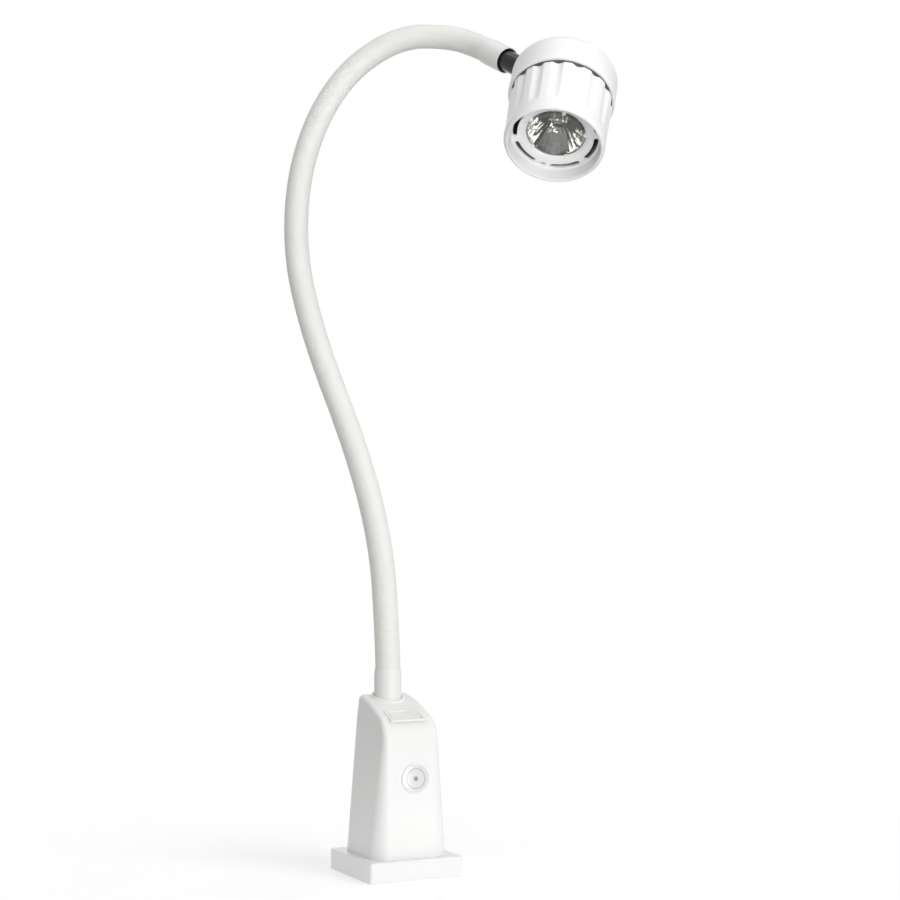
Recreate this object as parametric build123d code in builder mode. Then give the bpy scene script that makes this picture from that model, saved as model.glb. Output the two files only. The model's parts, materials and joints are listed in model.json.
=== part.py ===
from build123d import *
import os
from math import tan, radians, sin, cos, pi

os.makedirs("parts", exist_ok=True)

# ------------------------------------------------------------------
# Examination lamp on a gooseneck.  Millimetres, +Z up.
# Origin: centre of the underside of the square foot plate.
# Front (switch and badge side) is -Y.
# ------------------------------------------------------------------

# ---- foot plate ----
foot_w = 80.0            # square side
foot_h = 16.0            # thickness
foot_corner_r = 2.5
mount_pitch = 64.0       # threaded holes in the underside
mount_hole_r = 2.1       # M5 tapping size
mount_hole_depth = 11.0
boss_pitch = 46.0        # screws that hold the tower down

# ---- tower ----
tower_low_w = 66.0       # square side at the foot plate
tower_low_r = 14.0
tower_top_z = 150.0      # where the taper is measured, above the sloped lid
tower_top_x = 44.4
tower_top_y0, tower_top_y1 = -27.0, 26.8
tower_top_r = 2.4
wall = 2.6
lid_y0, lid_z0 = -15.0, 125.5      # centre of the switch on the sloped lid
lid_slope = 20.5                   # degrees, rises to the rear
lid_fillet = 4.2

# ---- switch ----
bezel_x, bezel_y, bezel_t = 31.0, 20.5, 1.3
switch_x, switch_y, switch_d = 27.2, 17.2, 14.5
window_x, window_y = 25.2, 14.6
rocker_r = 12.2          # ends of the rocker turn on this radius
rocker_w = 13.9
pivot_drop = 3.0         # pivot below the lid surface
rocker_tilt = 6.5        # one end stands up by this angle at rest

# ---- gooseneck ----
neck_y = 15.5
core_r, core_bore = 7.0, 5.0
sheath_r, sheath_wall = 10.1, 1.2
lead_r = 2.3
cuff_r, cuff_bore = 11.0, 10.35
cuff_low_z0, cuff_low_z1 = 133.4, 161.0
cuff_up_len = 28.0
hinge_gap = 5.0          # free length of bare core at every bending place
n_hinge = 6
neck_points = [
    (0.0, 15.5, 118.0), (0.0, 15.5, 170.0), (-0.2, 18.4, 201.5),
    (1.8, 29.4, 245.3), (1.1, 46.8, 287.3), (-2.4, 66.6, 327.2),
    (-7.3, 89.2, 366.3), (-18.4, 103.4, 408.1), (-28.2, 114.7, 450.5),
    (-35.1, 122.8, 494.6), (-34.7, 126.6, 539.8), (-27.1, 127.8, 583.9),
    (-10.7, 124.1, 626.8), (14.9, 117.2, 662.7), (51.9, 101.0, 687.6),
    (88.4, 81.0, 686.6), (104.3, 64.0, 677.8), (114.0, 27.3, 660.3),
]

# ---- head ----
stem_r, stem_bore = 8.75, 5.0
cap_r, cap_h, cap_wall, cap_fillet = 43.2, 31.5, 2.3, 9.0
sleeve_s0, sleeve_s1 = 33.3, 86.6      # along the head axis
sleeve_r0, sleeve_r1 = 41.3, 40.4
sleeve_bore = 37.3
flutes, flute_r = 16, 5.2
flute_deep, flute_tilt = 1.9, 2.0     # depth at the cap end, degrees of run-out
slot_r, slot_w = 32.4, 3.6
face_depth = 11.8                      # recessed face behind the front ring
aperture_r = 23.7
lamp_rim_r = 25.35                     # standard 50.7 mm reflector lamp
lamp_front_s = 71.9
can_s = 28.6                           # back of the black carrier plate
swivel_travel = 170.0

# ------------------------------------------------------------------
# reference planes
# ------------------------------------------------------------------
lid_n = Vector(0, -sin(radians(lid_slope)), cos(radians(lid_slope)))
lid_plane = Plane(origin=(0, lid_y0, lid_z0), x_dir=(1, 0, 0), z_dir=lid_n)

head_axis_dir = Vector(-0.40273, -0.51289, -0.75812).normalized()   # back to front
side_dir = Vector(0.8996, -0.4368, 0)
head_x = (side_dir - head_axis_dir * side_dir.dot(head_axis_dir)).normalized()
head_y = head_axis_dir.cross(head_x)
head_o = Vector(135.9, -33.8, 641.95)                # centre of the cap's back
head_plane = Plane(origin=head_o, x_dir=head_x, z_dir=head_axis_dir)
# profile plane: local x is the radius, local y runs along the head axis
head_rz = Plane(origin=head_o, x_dir=head_x, z_dir=-head_y)
head_axis = Axis(head_o, head_axis_dir)

neck_end = Vector(114.0, 27.3, 660.3)
stem_dir = (Vector(*neck_points[-1]) - Vector(*neck_points[-2])).normalized()
stem_x = (side_dir - stem_dir * side_dir.dot(stem_dir)).normalized()
stem_plane = Plane(origin=neck_end, x_dir=stem_x, z_dir=stem_dir)

lamp_colours = {}


def save(builder, name, colour=None):
    builder.part.label = name
    export_step(builder.part, "parts/%s.step" % name)


# ------------------------------------------------------------------
# foot plate: solid plate, threaded from below, counterbored for the
# screws that pull the tower down
# ------------------------------------------------------------------
with BuildPart() as foot_plate:
    with BuildSketch(Plane.XY):
        RectangleRounded(foot_w, foot_w, foot_corner_r)
    extrude(amount=foot_h)
    chamfer(foot_plate.faces().sort_by(Axis.Z)[-1].edges(), length=0.5)
    with Locations((0, 0, 0)):
        with GridLocations(mount_pitch, mount_pitch, 2, 2):
            Cylinder(mount_hole_r, mount_hole_depth, align=(Align.CENTER, Align.CENTER, Align.MIN), mode=Mode.SUBTRACT)
        with GridLocations(boss_pitch, boss_pitch, 2, 2):
            Cylinder(2.2, foot_h, align=(Align.CENTER, Align.CENTER, Align.MIN), mode=Mode.SUBTRACT)
            Cylinder(4.2, 5.0, align=(Align.CENTER, Align.CENTER, Align.MIN), mode=Mode.SUBTRACT)
    # blind threaded holes from above for the strap and the neck frame
    with Locations((-27.6, 15.0, foot_h), (27.6, 15.0, foot_h), (0, -25.0, foot_h)):
        Cylinder(1.65, 9.0, align=(Align.CENTER, Align.CENTER, Align.MAX), mode=Mode.SUBTRACT)
save(foot_plate, "foot_plate")

# ------------------------------------------------------------------
# tower shell
# ------------------------------------------------------------------
ty_c = (tower_top_y0 + tower_top_y1) / 2
ty_w = tower_top_y1 - tower_top_y0

with BuildPart() as tower_core_void:
    with BuildSketch(Plane.XY.offset(foot_h - 1)):
        RectangleRounded(tower_low_w - 2 * wall, tower_low_w - 2 * wall, tower_low_r - wall)
    with BuildSketch(Plane(origin=(0, ty_c, tower_top_z))):
        RectangleRounded(tower_top_x - 2 * wall, ty_w - 2 * wall, 1.2)
    loft()
    split(bisect_by=lid_plane.offset(-wall), keep=Keep.BOTTOM)

with BuildPart() as tower_shell:
    with BuildSketch(Plane.XY.offset(foot_h)):
        RectangleRounded(tower_low_w, tower_low_w, tower_low_r)
    with BuildSketch(Plane(origin=(0, ty_c, tower_top_z))):
        RectangleRounded(tower_top_x, ty_w, tower_top_r)
    loft()
    split(bisect_by=lid_plane, keep=Keep.BOTTOM)
    fillet(tower_shell.faces().sort_by(Axis((0, 0, 0), lid_n))[-1].edges(), radius=lid_fillet)
    # raised lip round the neck, cut parallel to the lid
    with BuildPart(mode=Mode.PRIVATE) as lip:
        with BuildSketch(Plane(origin=(0, neck_y, 120))):
            Circle(13.2)
        extrude(amount=40)
        split(bisect_by=lid_plane.offset(1.7), keep=Keep.BOTTOM)
        split(bisect_by=Plane(origin=(0, 27.25, 0), z_dir=(0, 1, 0)), keep=Keep.BOTTOM)
    add(lip.part)
    add(tower_core_void.part, mode=Mode.SUBTRACT)
    # seat of the lower cuff and hole for the nipple
    with Locations((0, neck_y, cuff_low_z0)):
        Cylinder(cuff_r + 0.25, 30, align=(Align.CENTER, Align.CENTER, Align.MIN), mode=Mode.SUBTRACT)
    # floor under the cuff where the lid is thinner than the seat
    with Locations((0, neck_y, cuff_low_z0)):
        Cylinder(cuff_r + 2.0, 3.4, align=(Align.CENTER, Align.CENTER, Align.MAX))
    with Locations((0, neck_y, 110)):
        Cylinder(8.3, 40, align=(Align.CENTER, Align.CENTER, Align.MIN), mode=Mode.SUBTRACT)
    # window for the switch body
    with BuildSketch(lid_plane.offset(2)):
        Rectangle(switch_x + 0.2, switch_y + 0.2)
    extrude(amount=-12, mode=Mode.SUBTRACT)
    # cable gland hole in the rear wall
    with Locations(Location((0, 34, 34), (90, 0, 0))):
        Cylinder(6.1, 12, mode=Mode.SUBTRACT)
    # screw bosses
    with BuildSketch(Plane.XY.offset(foot_h)):
        with GridLocations(boss_pitch, boss_pitch, 2, 2):
            Circle(4.0)
        # webs that tie the bosses to the corners
        with Locations((25.0, 25.0), (-25.0, -25.0)):
            Rectangle(6.4, 3.0, rotation=45)
        with Locations((25.0, -25.0), (-25.0, 25.0)):
            Rectangle(6.4, 3.0, rotation=-45)
    extrude(amount=24)
    with BuildSketch(Plane.XY.offset(foot_h)):
        with GridLocations(boss_pitch, boss_pitch, 2, 2):
            Circle(1.6)
    extrude(amount=20, mode=Mode.SUBTRACT)
save(tower_shell, "tower_shell")

# four countersunk tapping screws, heads in the counterbores of the foot plate
with BuildPart() as base_screws:
    with BuildSketch(Plane.XY.offset(1.2)):
        with GridLocations(boss_pitch, boss_pitch, 2, 2):
            Circle(3.6)
    extrude(amount=3.8)
    with BuildSketch(Plane.XY.offset(5.0)):
        with GridLocations(boss_pitch, boss_pitch, 2, 2):
            Circle(1.6)
    extrude(amount=27)
    with BuildSketch(Plane.XY.offset(1.2)):
        with GridLocations(boss_pitch, boss_pitch, 2, 2):
            Rectangle(4.6, 0.9)
            Rectangle(0.9, 4.6)
    extrude(amount=1.6, mode=Mode.SUBTRACT)
save(base_screws, "base_screws")

# ------------------------------------------------------------------
# neck frame: sheet steel arch that carries the gooseneck down to the foot
# ------------------------------------------------------------------
arch_z = 116.0
with BuildPart() as neck_frame:
    with BuildSketch(Plane.XZ.offset(-neck_y - 9.0)):
        with BuildLine():
            Polyline((-31, foot_h), (-31, foot_h + 2), (-25, foot_h + 2), (-19.4, arch_z + 2), (19.4, arch_z + 2),
                     (25, foot_h + 2), (31, foot_h + 2), (31, foot_h), (23.0, foot_h), (17.5, arch_z), (-17.5, arch_z), (-23.0, foot_h), close=True)
        make_face()
    extrude(amount=18)
    with Locations((0, neck_y, arch_z)):
        Cylinder(8.1, 20, mode=Mode.SUBTRACT)
    with Locations((-27.6, 15.0, foot_h), (27.6, 15.0, foot_h)):
        Cylinder(1.8, 10, mode=Mode.SUBTRACT)
    # the feet stay clear of the rear screw bosses
    with Locations((-23, 23, foot_h), (23, 23, foot_h)):
        Cylinder(4.6, 60, mode=Mode.SUBTRACT)
    # and of the tower's tapering rear corners
    with BuildSketch(Plane.XY.offset(foot_h - 1)):
        Rectangle(90, 90)
        RectangleRounded(tower_low_w - 2 * wall - 1.2, tower_low_w - 2 * wall - 1.2, tower_low_r - wall, mode=Mode.SUBTRACT)
    extrude(amount=4, mode=Mode.SUBTRACT)
save(neck_frame, "neck_frame")

with BuildPart() as frame_screws:
    with Locations((-27.6, 15.0, foot_h + 2), (27.6, 15.0, foot_h + 2)):
        Cylinder(2.3, 2.2, align=(Align.CENTER, Align.CENTER, Align.MIN))
        Cylinder(1.6, 9.0, align=(Align.CENTER, Align.CENTER, Align.MAX))
    with Locations((-27.6, 15.0, foot_h + 4.2), (27.6, 15.0, foot_h + 4.2)):
        Box(3.4, 0.8, 1.0, align=(Align.CENTER, Align.CENTER, Align.MAX), mode=Mode.SUBTRACT)
save(frame_screws, "frame_screws")

# ------------------------------------------------------------------
# safety transformer: laminated shell core, bobbin with windings, strap
# ------------------------------------------------------------------
core_x, core_h, core_t = 40.0, 46.0, 20.0
core_yc, core_z0 = -9.0, foot_h + 0.2
with BuildPart() as transformer_core:
    with BuildSketch(Plane.XZ.offset(-core_yc)):
        with Locations((0, core_z0 + core_h / 2)):
            Rectangle(core_x, core_h)
            with Locations((-10, 0), (10, 0)):
                Rectangle(7.2, core_h - 14, mode=Mode.SUBTRACT)
    extrude(amount=core_t / 2, both=True)
save(transformer_core, "transformer_core")

with BuildPart() as transformer_coil:
    # winding body and two bobbin flanges round the centre leg
    with BuildSketch(Plane.XY.offset(core_z0 + 7.4)):
        with Locations((0, core_yc)):
            Rectangle(26.6, 33.0)
            Rectangle(13.0, core_t + 0.2, mode=Mode.SUBTRACT)
    extrude(amount=1.4)
    with BuildSketch(Plane.XY.offset(core_z0 + 8.8)):
        with Locations((0, core_yc)):
            RectangleRounded(25.4, 31.0, 3.0)
            Rectangle(13.0, core_t + 0.2, mode=Mode.SUBTRACT)
    extrude(amount=core_h - 17.6)
    with BuildSketch(Plane.XY.offset(core_z0 + core_h - 8.8)):
        with Locations((0, core_yc)):
            Rectangle(26.6, 33.0)
            Rectangle(13.0, core_t + 0.2, mode=Mode.SUBTRACT)
    extrude(amount=1.4)
save(transformer_coil, "transformer_coil")

with BuildPart() as transformer_strap:
    top_z = core_z0 + core_h
    with BuildSketch(Plane.YZ.offset(-15.0)):
        with BuildLine():
            Polyline((-28.0, foot_h), (-28.0, foot_h + 1.5), (-20.9, foot_h + 1.5), (-20.9, top_z + 1.5), (2.9, top_z + 1.5),
                     (2.9, foot_h + 1.5), (9.5, foot_h + 1.5), (9.5, foot_h), (1.3, foot_h), (1.3, top_z + 0.05), (-19.3, top_z + 0.05), (-19.3, foot_h), close=True)
        make_face()
    extrude(amount=30.0)
    # window so that the strap clears the coil
    with BuildSketch(Plane.XZ.offset(-30)):
        with Locations((0, core_z0 + core_h / 2)):
            Rectangle(27.4, core_h - 13.6)
    extrude(amount=60, mode=Mode.SUBTRACT)
    with Locations((0, -25.0, foot_h)):
        Cylinder(1.8, 8, mode=Mode.SUBTRACT)
    # rear foot: open notch for the second screw
    with Locations((0, 6.6, foot_h)):
        Cylinder(1.8, 8, mode=Mode.SUBTRACT)
save(transformer_strap, "transformer_strap")

with BuildPart() as transformer_screws:
    with Locations((0, -25.0, foot_h + 1.5)):
        Cylinder(2.9, 2.0, align=(Align.CENTER, Align.CENTER, Align.MIN))
        Cylinder(1.6, 9.0, align=(Align.CENTER, Align.CENTER, Align.MAX))
    with Locations((0, -25.0, foot_h + 3.5)):
        Box(4.0, 0.8, 0.9, align=(Align.CENTER, Align.CENTER, Align.MAX), mode=Mode.SUBTRACT)
save(transformer_screws, "transformer_screws")

# terminal block between the transformer and the gland
with BuildPart() as terminal_block:
    with BuildSketch(Plane(origin=(0, 17.0, foot_h))):
        Rectangle(26.0, 11.0)
    extrude(amount=11.0)
    with Locations((-8.5, 17.0, foot_h + 11.0), (0, 17.0, foot_h + 11.0), (8.5, 17.0, foot_h + 11.0)):
        Cylinder(2.0, 5.0, align=(Align.CENTER, Align.CENTER, Align.MAX), mode=Mode.SUBTRACT)
    with Locations(Location((-8.5, 17.0, foot_h + 4.2), (90, 0, 0)), Location((0, 17.0, foot_h + 4.2), (90, 0, 0)), Location((8.5, 17.0, foot_h + 4.2), (90, 0, 0))):
        Cylinder(1.7, 12.0, mode=Mode.SUBTRACT)
save(terminal_block, "terminal_block")

# cartridge fuse carried in an open clip block, left of the transformer top
with BuildPart() as fuse_holder:
    with BuildSketch(Plane(origin=(0, -9.0, core_z0 + core_h + 1.55))):
        Rectangle(28.0, 9.0)
    extrude(amount=3.0)
    with BuildSketch(Plane(origin=(0, -9.0, core_z0 + core_h + 4.55))):
        with Locations((-10.5, 0), (10.5, 0)):
            Rectangle(4.0, 8.0)
    extrude(amount=5.4)
    with Locations(Location((0, -9.0, core_z0 + core_h + 8.2), (0, 90, 0))):
        Cylinder(2.62, 30.0, mode=Mode.SUBTRACT)
    with BuildSketch(Plane(origin=(0, -9.0, core_z0 + core_h + 8.2))):
        Rectangle(30, 4.0)
    extrude(amount=6, mode=Mode.SUBTRACT)
save(fuse_holder, "fuse_holder")

with BuildPart() as fuse_link:
    with BuildSketch(Plane(origin=(-10.0 - 2.5, -9.0, core_z0 + core_h + 8.2), z_dir=(1, 0, 0))):
        Circle(2.6)
    extrude(amount=5.0)
    with BuildSketch(Plane(origin=(-7.5, -9.0, core_z0 + core_h + 8.2), z_dir=(1, 0, 0))):
        Circle(2.3)
    extrude(amount=15.0)
    with BuildSketch(Plane(origin=(7.5, -9.0, core_z0 + core_h + 8.2), z_dir=(1, 0, 0))):
        Circle(2.6)
    extrude(amount=5.0)
save(fuse_link, "fuse_link")

# ------------------------------------------------------------------
# cable gland in the rear wall (inlet only)
# ------------------------------------------------------------------
gland_y = 31.95          # outer wall surface at the gland height
gland_axis = Plane(origin=(0, gland_y, 34.0), x_dir=(1, 0, 0), z_dir=(0, 1, 0))
with BuildPart() as cord_gland:
    with BuildSketch(gland_axis.offset(-9.0)):
        Circle(6.0)
    extrude(amount=9.6)
    with BuildSketch(gland_axis.offset(0.6)):
        RegularPolygon(8.6, 6)
    extrude(amount=3.4)
    with BuildSketch(gland_axis.offset(4.0)):
        Circle(6.8)
    extrude(amount=4.4)
    fillet(cord_gland.faces().sort_by(Axis.Y)[-1].edges(), radius=1.6)
    with BuildSketch(gland_axis.offset(-10)):
        Circle(3.3)
    extrude(amount=20, mode=Mode.SUBTRACT)
save(cord_gland, "cord_gland")

with BuildPart() as gland_nut:
    with BuildSketch(gland_axis.offset(-6.4)):
        RegularPolygon(8.2, 6)
        Circle(6.05, mode=Mode.SUBTRACT)
    extrude(amount=2.6)
save(gland_nut, "gland_nut")

# ------------------------------------------------------------------
# rocker switch
# ------------------------------------------------------------------
with BuildPart() as switch_housing:
    with BuildSketch(lid_plane):
        RectangleRounded(bezel_x, bezel_y, 1.2)
    extrude(amount=bezel_t)
    chamfer(switch_housing.faces().sort_by(Axis((0, 0, 0), lid_n))[-1].edges(), length=0.45)
    with BuildSketch(lid_plane):
        Rectangle(switch_x, switch_y)
    extrude(amount=-switch_d)
    with BuildSketch(lid_plane.offset(bezel_t)):
        Rectangle(window_x, window_y)
    extrude(amount=-(bezel_t + 10.0), mode=Mode.SUBTRACT)
    # pivot holes in the long walls
    with BuildSketch(Plane(origin=lid_plane.from_local_coords((0, 0, -pivot_drop)), x_dir=(1, 0, 0), z_dir=lid_plane.y_dir)):
        Circle(1.55)
    extrude(amount=switch_y / 2 - 0.4, both=True, mode=Mode.SUBTRACT)
    # slots for the contact tabs
    with BuildSketch(lid_plane.offset(-switch_d)):
        with Locations((-8, 0), (0, 0), (8, 0)):
            Rectangle(0.9, 5.0)
    extrude(amount=6, mode=Mode.SUBTRACT)
save(switch_housing, "switch_housing")

with BuildPart() as switch_terminals:
    with BuildSketch(lid_plane.offset(-switch_d - 7.5)):
        with Locations((-8, 0), (0, 0), (8, 0)):
            Rectangle(0.8, 4.8)
    extrude(amount=11.0)
save(switch_terminals, "switch_terminals")

rocker_plane = Plane(origin=lid_plane.from_local_coords((0, 0, -pivot_drop)),
                     x_dir=Vector(cos(radians(rocker_tilt)), 0, 0) + lid_n * sin(radians(rocker_tilt)), z_dir=-lid_plane.y_dir)
with BuildPart() as rocker_button:
    with BuildSketch(rocker_plane):
        Circle(rocker_r)
        with Locations((0, 44.2)):
            Circle(41.0, mode=Mode.SUBTRACT)
        with Locations((0, -14.0 + 0.6)):
            Rectangle(40, 28 - 1.4, mode=Mode.SUBTRACT)
        with Locations((0, 25)):
            Rectangle(40, 38.6, mode=Mode.SUBTRACT)
        Circle(3.4)
        with Locations((0, 23.2)):
            Rectangle(6, 40, mode=Mode.SUBTRACT)
    extrude(amount=rocker_w / 2, both=True)
    with BuildSketch(rocker_plane):
        Circle(1.5)
    extrude(amount=switch_y / 2 - 0.6, both=True)
save(rocker_button, "rocker_button")

# domed badge on the front face
front_lean = (33.0 + tower_top_y0) / (tower_top_z - foot_h)
badge_z = 78.0
badge_plane = Plane(origin=(1.0, -33.0 + (badge_z - foot_h) * front_lean, badge_z), x_dir=(1, 0, 0), z_dir=(0, -1, front_lean))
with BuildPart() as badge:
    with BuildSketch(badge_plane):
        Circle(12.0)
    extrude(amount=1.3)
    fillet(badge.faces().sort_by(Axis.Y)[0].edges(), radius=1.0)
save(badge, "badge")

# ------------------------------------------------------------------
# gooseneck
# ------------------------------------------------------------------
pts = [Vector(*p) for p in neck_points]
runs = [(pts[i + 1] - pts[i]).length for i in range(len(pts) - 1)]
radii = []
for i in range(1, len(pts) - 1):
    turn = (pts[i] - pts[i - 1]).get_angle(pts[i + 1] - pts[i])
    radii.append(0.45 * min(runs[i - 1], runs[i]) / tan(radians(turn / 2)))
print("bend radii of the neck:", [round(r) for r in radii])

with BuildLine() as neck_line:
    FilletPolyline(*pts, radius=radii)
neck_wire = neck_line.wire()
neck_len = neck_wire.length
d_cuff = cuff_low_z1 - neck_points[0][2]
free_len = neck_len - cuff_up_len - d_cuff
cell = free_len / n_hinge
hinges = [d_cuff + cell * (j + 0.5) for j in range(n_hinge)]
bounds = [d_cuff + cell * j for j in range(n_hinge + 1)]
print("neck path length %.2f, one bending length %.2f" % (neck_len, cell))


def stretch(d0, d1):
    return neck_wire.trim(d0 / neck_len, d1 / neck_len)


def start_plane(wire):
    return Plane(origin=wire @ 0, z_dir=wire % 0)


core_names = []
for k in range(n_hinge + 1):
    d0 = 8.0 if k == 0 else hinges[k - 1] + hinge_gap / 2
    d1 = neck_len - 25.0 if k == n_hinge else hinges[k] - hinge_gap / 2
    run = stretch(d0, d1)
    with BuildPart() as core:
        with BuildLine():
            add(run)
        with BuildSketch(start_plane(run)):
            Circle(core_r)
            Circle(core_bore, mode=Mode.SUBTRACT)
        sweep()
    save(core, "neck_core_%d" % k)
    print("neck_core_%d volume ratio %.4f" % (k, core.part.volume / (pi * (core_r ** 2 - core_bore ** 2) * run.length)))

for k in range(n_hinge):
    d0 = 19.5 if k == 0 else bounds[k] + 0.05
    d1 = neck_len - 26.2 if k == n_hinge - 1 else bounds[k + 1] - 0.05
    run = stretch(d0, d1)
    with BuildPart() as sheath:
        with BuildLine():
            add(run)
        with BuildSketch(start_plane(run)):
            Circle(sheath_r)
            Circle(sheath_r - sheath_wall, mode=Mode.SUBTRACT)
        sweep()
    save(sheath, "neck_sheath_%d" % (k + 1))
    print("neck_sheath_%d volume ratio %.4f" % (k + 1, sheath.part.volume / (pi * (sheath_r ** 2 - (sheath_r - sheath_wall) ** 2) * run.length)))
    d0 = 0.0 if k == 0 else bounds[k] + 0.05
    d1 = neck_len - 0.5 if k == n_hinge - 1 else bounds[k + 1] - 0.05
    run = stretch(d0, d1)
    with BuildPart() as lead:
        with BuildLine():
            add(run)
        with BuildSketch(start_plane(run)):
            Circle(lead_r)
        sweep()
    save(lead, "neck_lead_%d" % (k + 1))

for j, d in enumerate(hinges):
    p = neck_wire @ (d / neck_len)
    t = neck_wire % (d / neck_len)
    print("hinge %d" % (j + 1), "pos (%.3f, %.3f, %.3f)" % (p.X, p.Y, p.Z), "tangent (%.5f, %.5f, %.5f)" % (t.X, t.Y, t.Z))

# lower fittings: threaded nipple through lid and arch, nuts, washer
with BuildPart() as neck_nipple:
    with BuildSketch(Plane(origin=(0, neck_y, 110.0))):
        Circle(8.0)
    extrude(amount=cuff_low_z0 - 110.0 + 0.1)
    with BuildSketch(Plane(origin=(0, neck_y, cuff_low_z0 + 0.1))):
        Circle(10.3)
    extrude(amount=3.8)
    with BuildSketch(Plane(origin=(0, neck_y, 109.0))):
        Circle(core_r)
    extrude(amount=40, mode=Mode.SUBTRACT)
save(neck_nipple, "neck_nipple")

with BuildPart() as neck_nuts:
    with BuildSketch(Plane(origin=(0, neck_y, arch_z - 4.6))):
        RegularPolygon(11.0, 6)
        Circle(8.05, mode=Mode.SUBTRACT)
    extrude(amount=4.5)
    with BuildSketch(Plane(origin=(0, neck_y, arch_z + 2.1))):
        RegularPolygon(11.0, 6)
        Circle(8.05, mode=Mode.SUBTRACT)
    extrude(amount=4.5)
save(neck_nuts, "neck_nuts")

with BuildPart() as lower_cuff:
    with BuildSketch(Plane(origin=(0, neck_y, cuff_low_z0 + 0.1))):
        Circle(cuff_r)
        Circle(cuff_bore, mode=Mode.SUBTRACT)
    extrude(amount=cuff_low_z1 - cuff_low_z0 - 4.6)
    with BuildSketch(Plane(origin=(0, neck_y, cuff_low_z1 - 4.5))):
        Circle(cuff_r)
    with BuildSketch(Plane(origin=(0, neck_y, cuff_low_z1))):
        Circle(cuff_r - 0.45)
    loft()
    with BuildSketch(Plane(origin=(0, neck_y, cuff_low_z1 - 5.0))):
        Circle(cuff_bore)
    extrude(amount=6, mode=Mode.SUBTRACT)
save(lower_cuff, "lower_cuff")

# upper cuff, ferrule and swivel bush on the last straight run of the neck
with BuildPart() as upper_cuff:
    with BuildSketch(stem_plane.offset(-cuff_up_len)):
        Circle(cuff_r - 0.45)
    with BuildSketch(stem_plane.offset(-cuff_up_len + 4.5)):
        Circle(cuff_r)
    loft()
    with BuildSketch(stem_plane.offset(-cuff_up_len + 4.5)):
        Circle(cuff_r)
    extrude(amount=cuff_up_len - 4.5)
    with BuildSketch(stem_plane.offset(-cuff_up_len - 1)):
        Circle(cuff_bore)
    extrude(amount=cuff_up_len + 2, mode=Mode.SUBTRACT)
save(upper_cuff, "upper_cuff")

with BuildPart() as neck_ferrule:
    with BuildSketch(stem_plane.offset(-26.0)):
        Circle(cuff_bore)
        Circle(core_r, mode=Mode.SUBTRACT)
    extrude(amount=1.0)
    with BuildSketch(stem_plane.offset(-25.0)):
        Circle(cuff_bore)
        Circle(4.6, mode=Mode.SUBTRACT)
    extrude(amount=2.6)
save(neck_ferrule, "neck_ferrule")

with BuildPart() as swivel_bush:
    with BuildSketch(stem_plane.offset(-17.0)):
        Circle(cuff_bore)
        Circle(stem_r + 0.04, mode=Mode.SUBTRACT)
    extrude(amount=16.2)
    chamfer(swivel_bush.faces().sort_by(Axis(neck_end, stem_dir))[-1].edges().sort_by(SortBy.RADIUS)[0], length=0.4)
save(swivel_bush, "swivel_bush")

# ------------------------------------------------------------------
# stem: tube from the neck into the cap
# ------------------------------------------------------------------
stem_end = 63.0
with BuildPart() as stem:
    with BuildSketch(stem_plane.offset(-21.6)):
        Circle(stem_r)
    extrude(amount=21.6 + stem_end)
    chamfer(stem.faces().sort_by(Axis(neck_end, stem_dir))[-1].edges(), length=0.6)
    # groove for the retaining clip
    with BuildSketch(stem_plane.offset(-19.0)):
        Circle(stem_r + 1)
        Circle(stem_r - 1.0, mode=Mode.SUBTRACT)
    extrude(amount=1.3, mode=Mode.SUBTRACT)
    with BuildSketch(stem_plane.offset(-22)):
        Circle(stem_bore)
    extrude(amount=stem_end + 23, mode=Mode.SUBTRACT)
save(stem, "stem")

with BuildPart() as stem_clip:
    with BuildSketch(stem_plane.offset(-18.9)):
        Circle(9.9)
        Circle(stem_r - 0.9, mode=Mode.SUBTRACT)
        with Locations((0, -9)):
            Rectangle(5.0, 8.0, mode=Mode.SUBTRACT)
    extrude(amount=1.1)
save(stem_clip, "stem_clip")

# ------------------------------------------------------------------
# cap
# ------------------------------------------------------------------
with BuildPart() as cap_void:
    with BuildSketch(head_rz):
        with BuildLine():
            Polyline((0, cap_wall), (33.0, cap_wall), (cap_r - cap_wall, 10.5), (cap_r - cap_wall, cap_h + 1), (0, cap_h + 1), close=True)
        make_face()
    revolve(axis=head_axis)

# socket inside the cap that takes the end of the stem
with BuildPart() as stem_socket:
    with BuildSketch(stem_plane.offset(44.0)):
        Circle(stem_r + 3.2)
    extrude(amount=stem_end - 44.0 - 2.0)
    add(cap_void.part, mode=Mode.INTERSECT)

with BuildPart() as cap:
    with BuildSketch(head_rz):
        with BuildLine():
            l1 = Line((0, 0), (cap_r - cap_fillet, 0))
            l2 = RadiusArc(l1 @ 1, (cap_r - 0.25, cap_fillet), -cap_fillet)
            Polyline(l2 @ 1, (cap_r, cap_h - 0.6), (cap_r - 0.6, cap_h), (cap_r - cap_wall, cap_h), (cap_r - cap_wall, 10.5), (33.0, cap_wall), (0, cap_wall), (0, 0))
        make_face()
    revolve(axis=head_axis)
    add(stem_socket.part)
    with BuildSketch(stem_plane.offset(24.0)):
        Circle(stem_r)
    extrude(amount=stem_end - 24.0 + 0.5, mode=Mode.SUBTRACT)
save(cap, "cap")

# grub screw through the stem socket, on its side away from the shade's edge
grub_side = (head_axis_dir - stem_dir * head_axis_dir.dot(stem_dir)).normalized()

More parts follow.
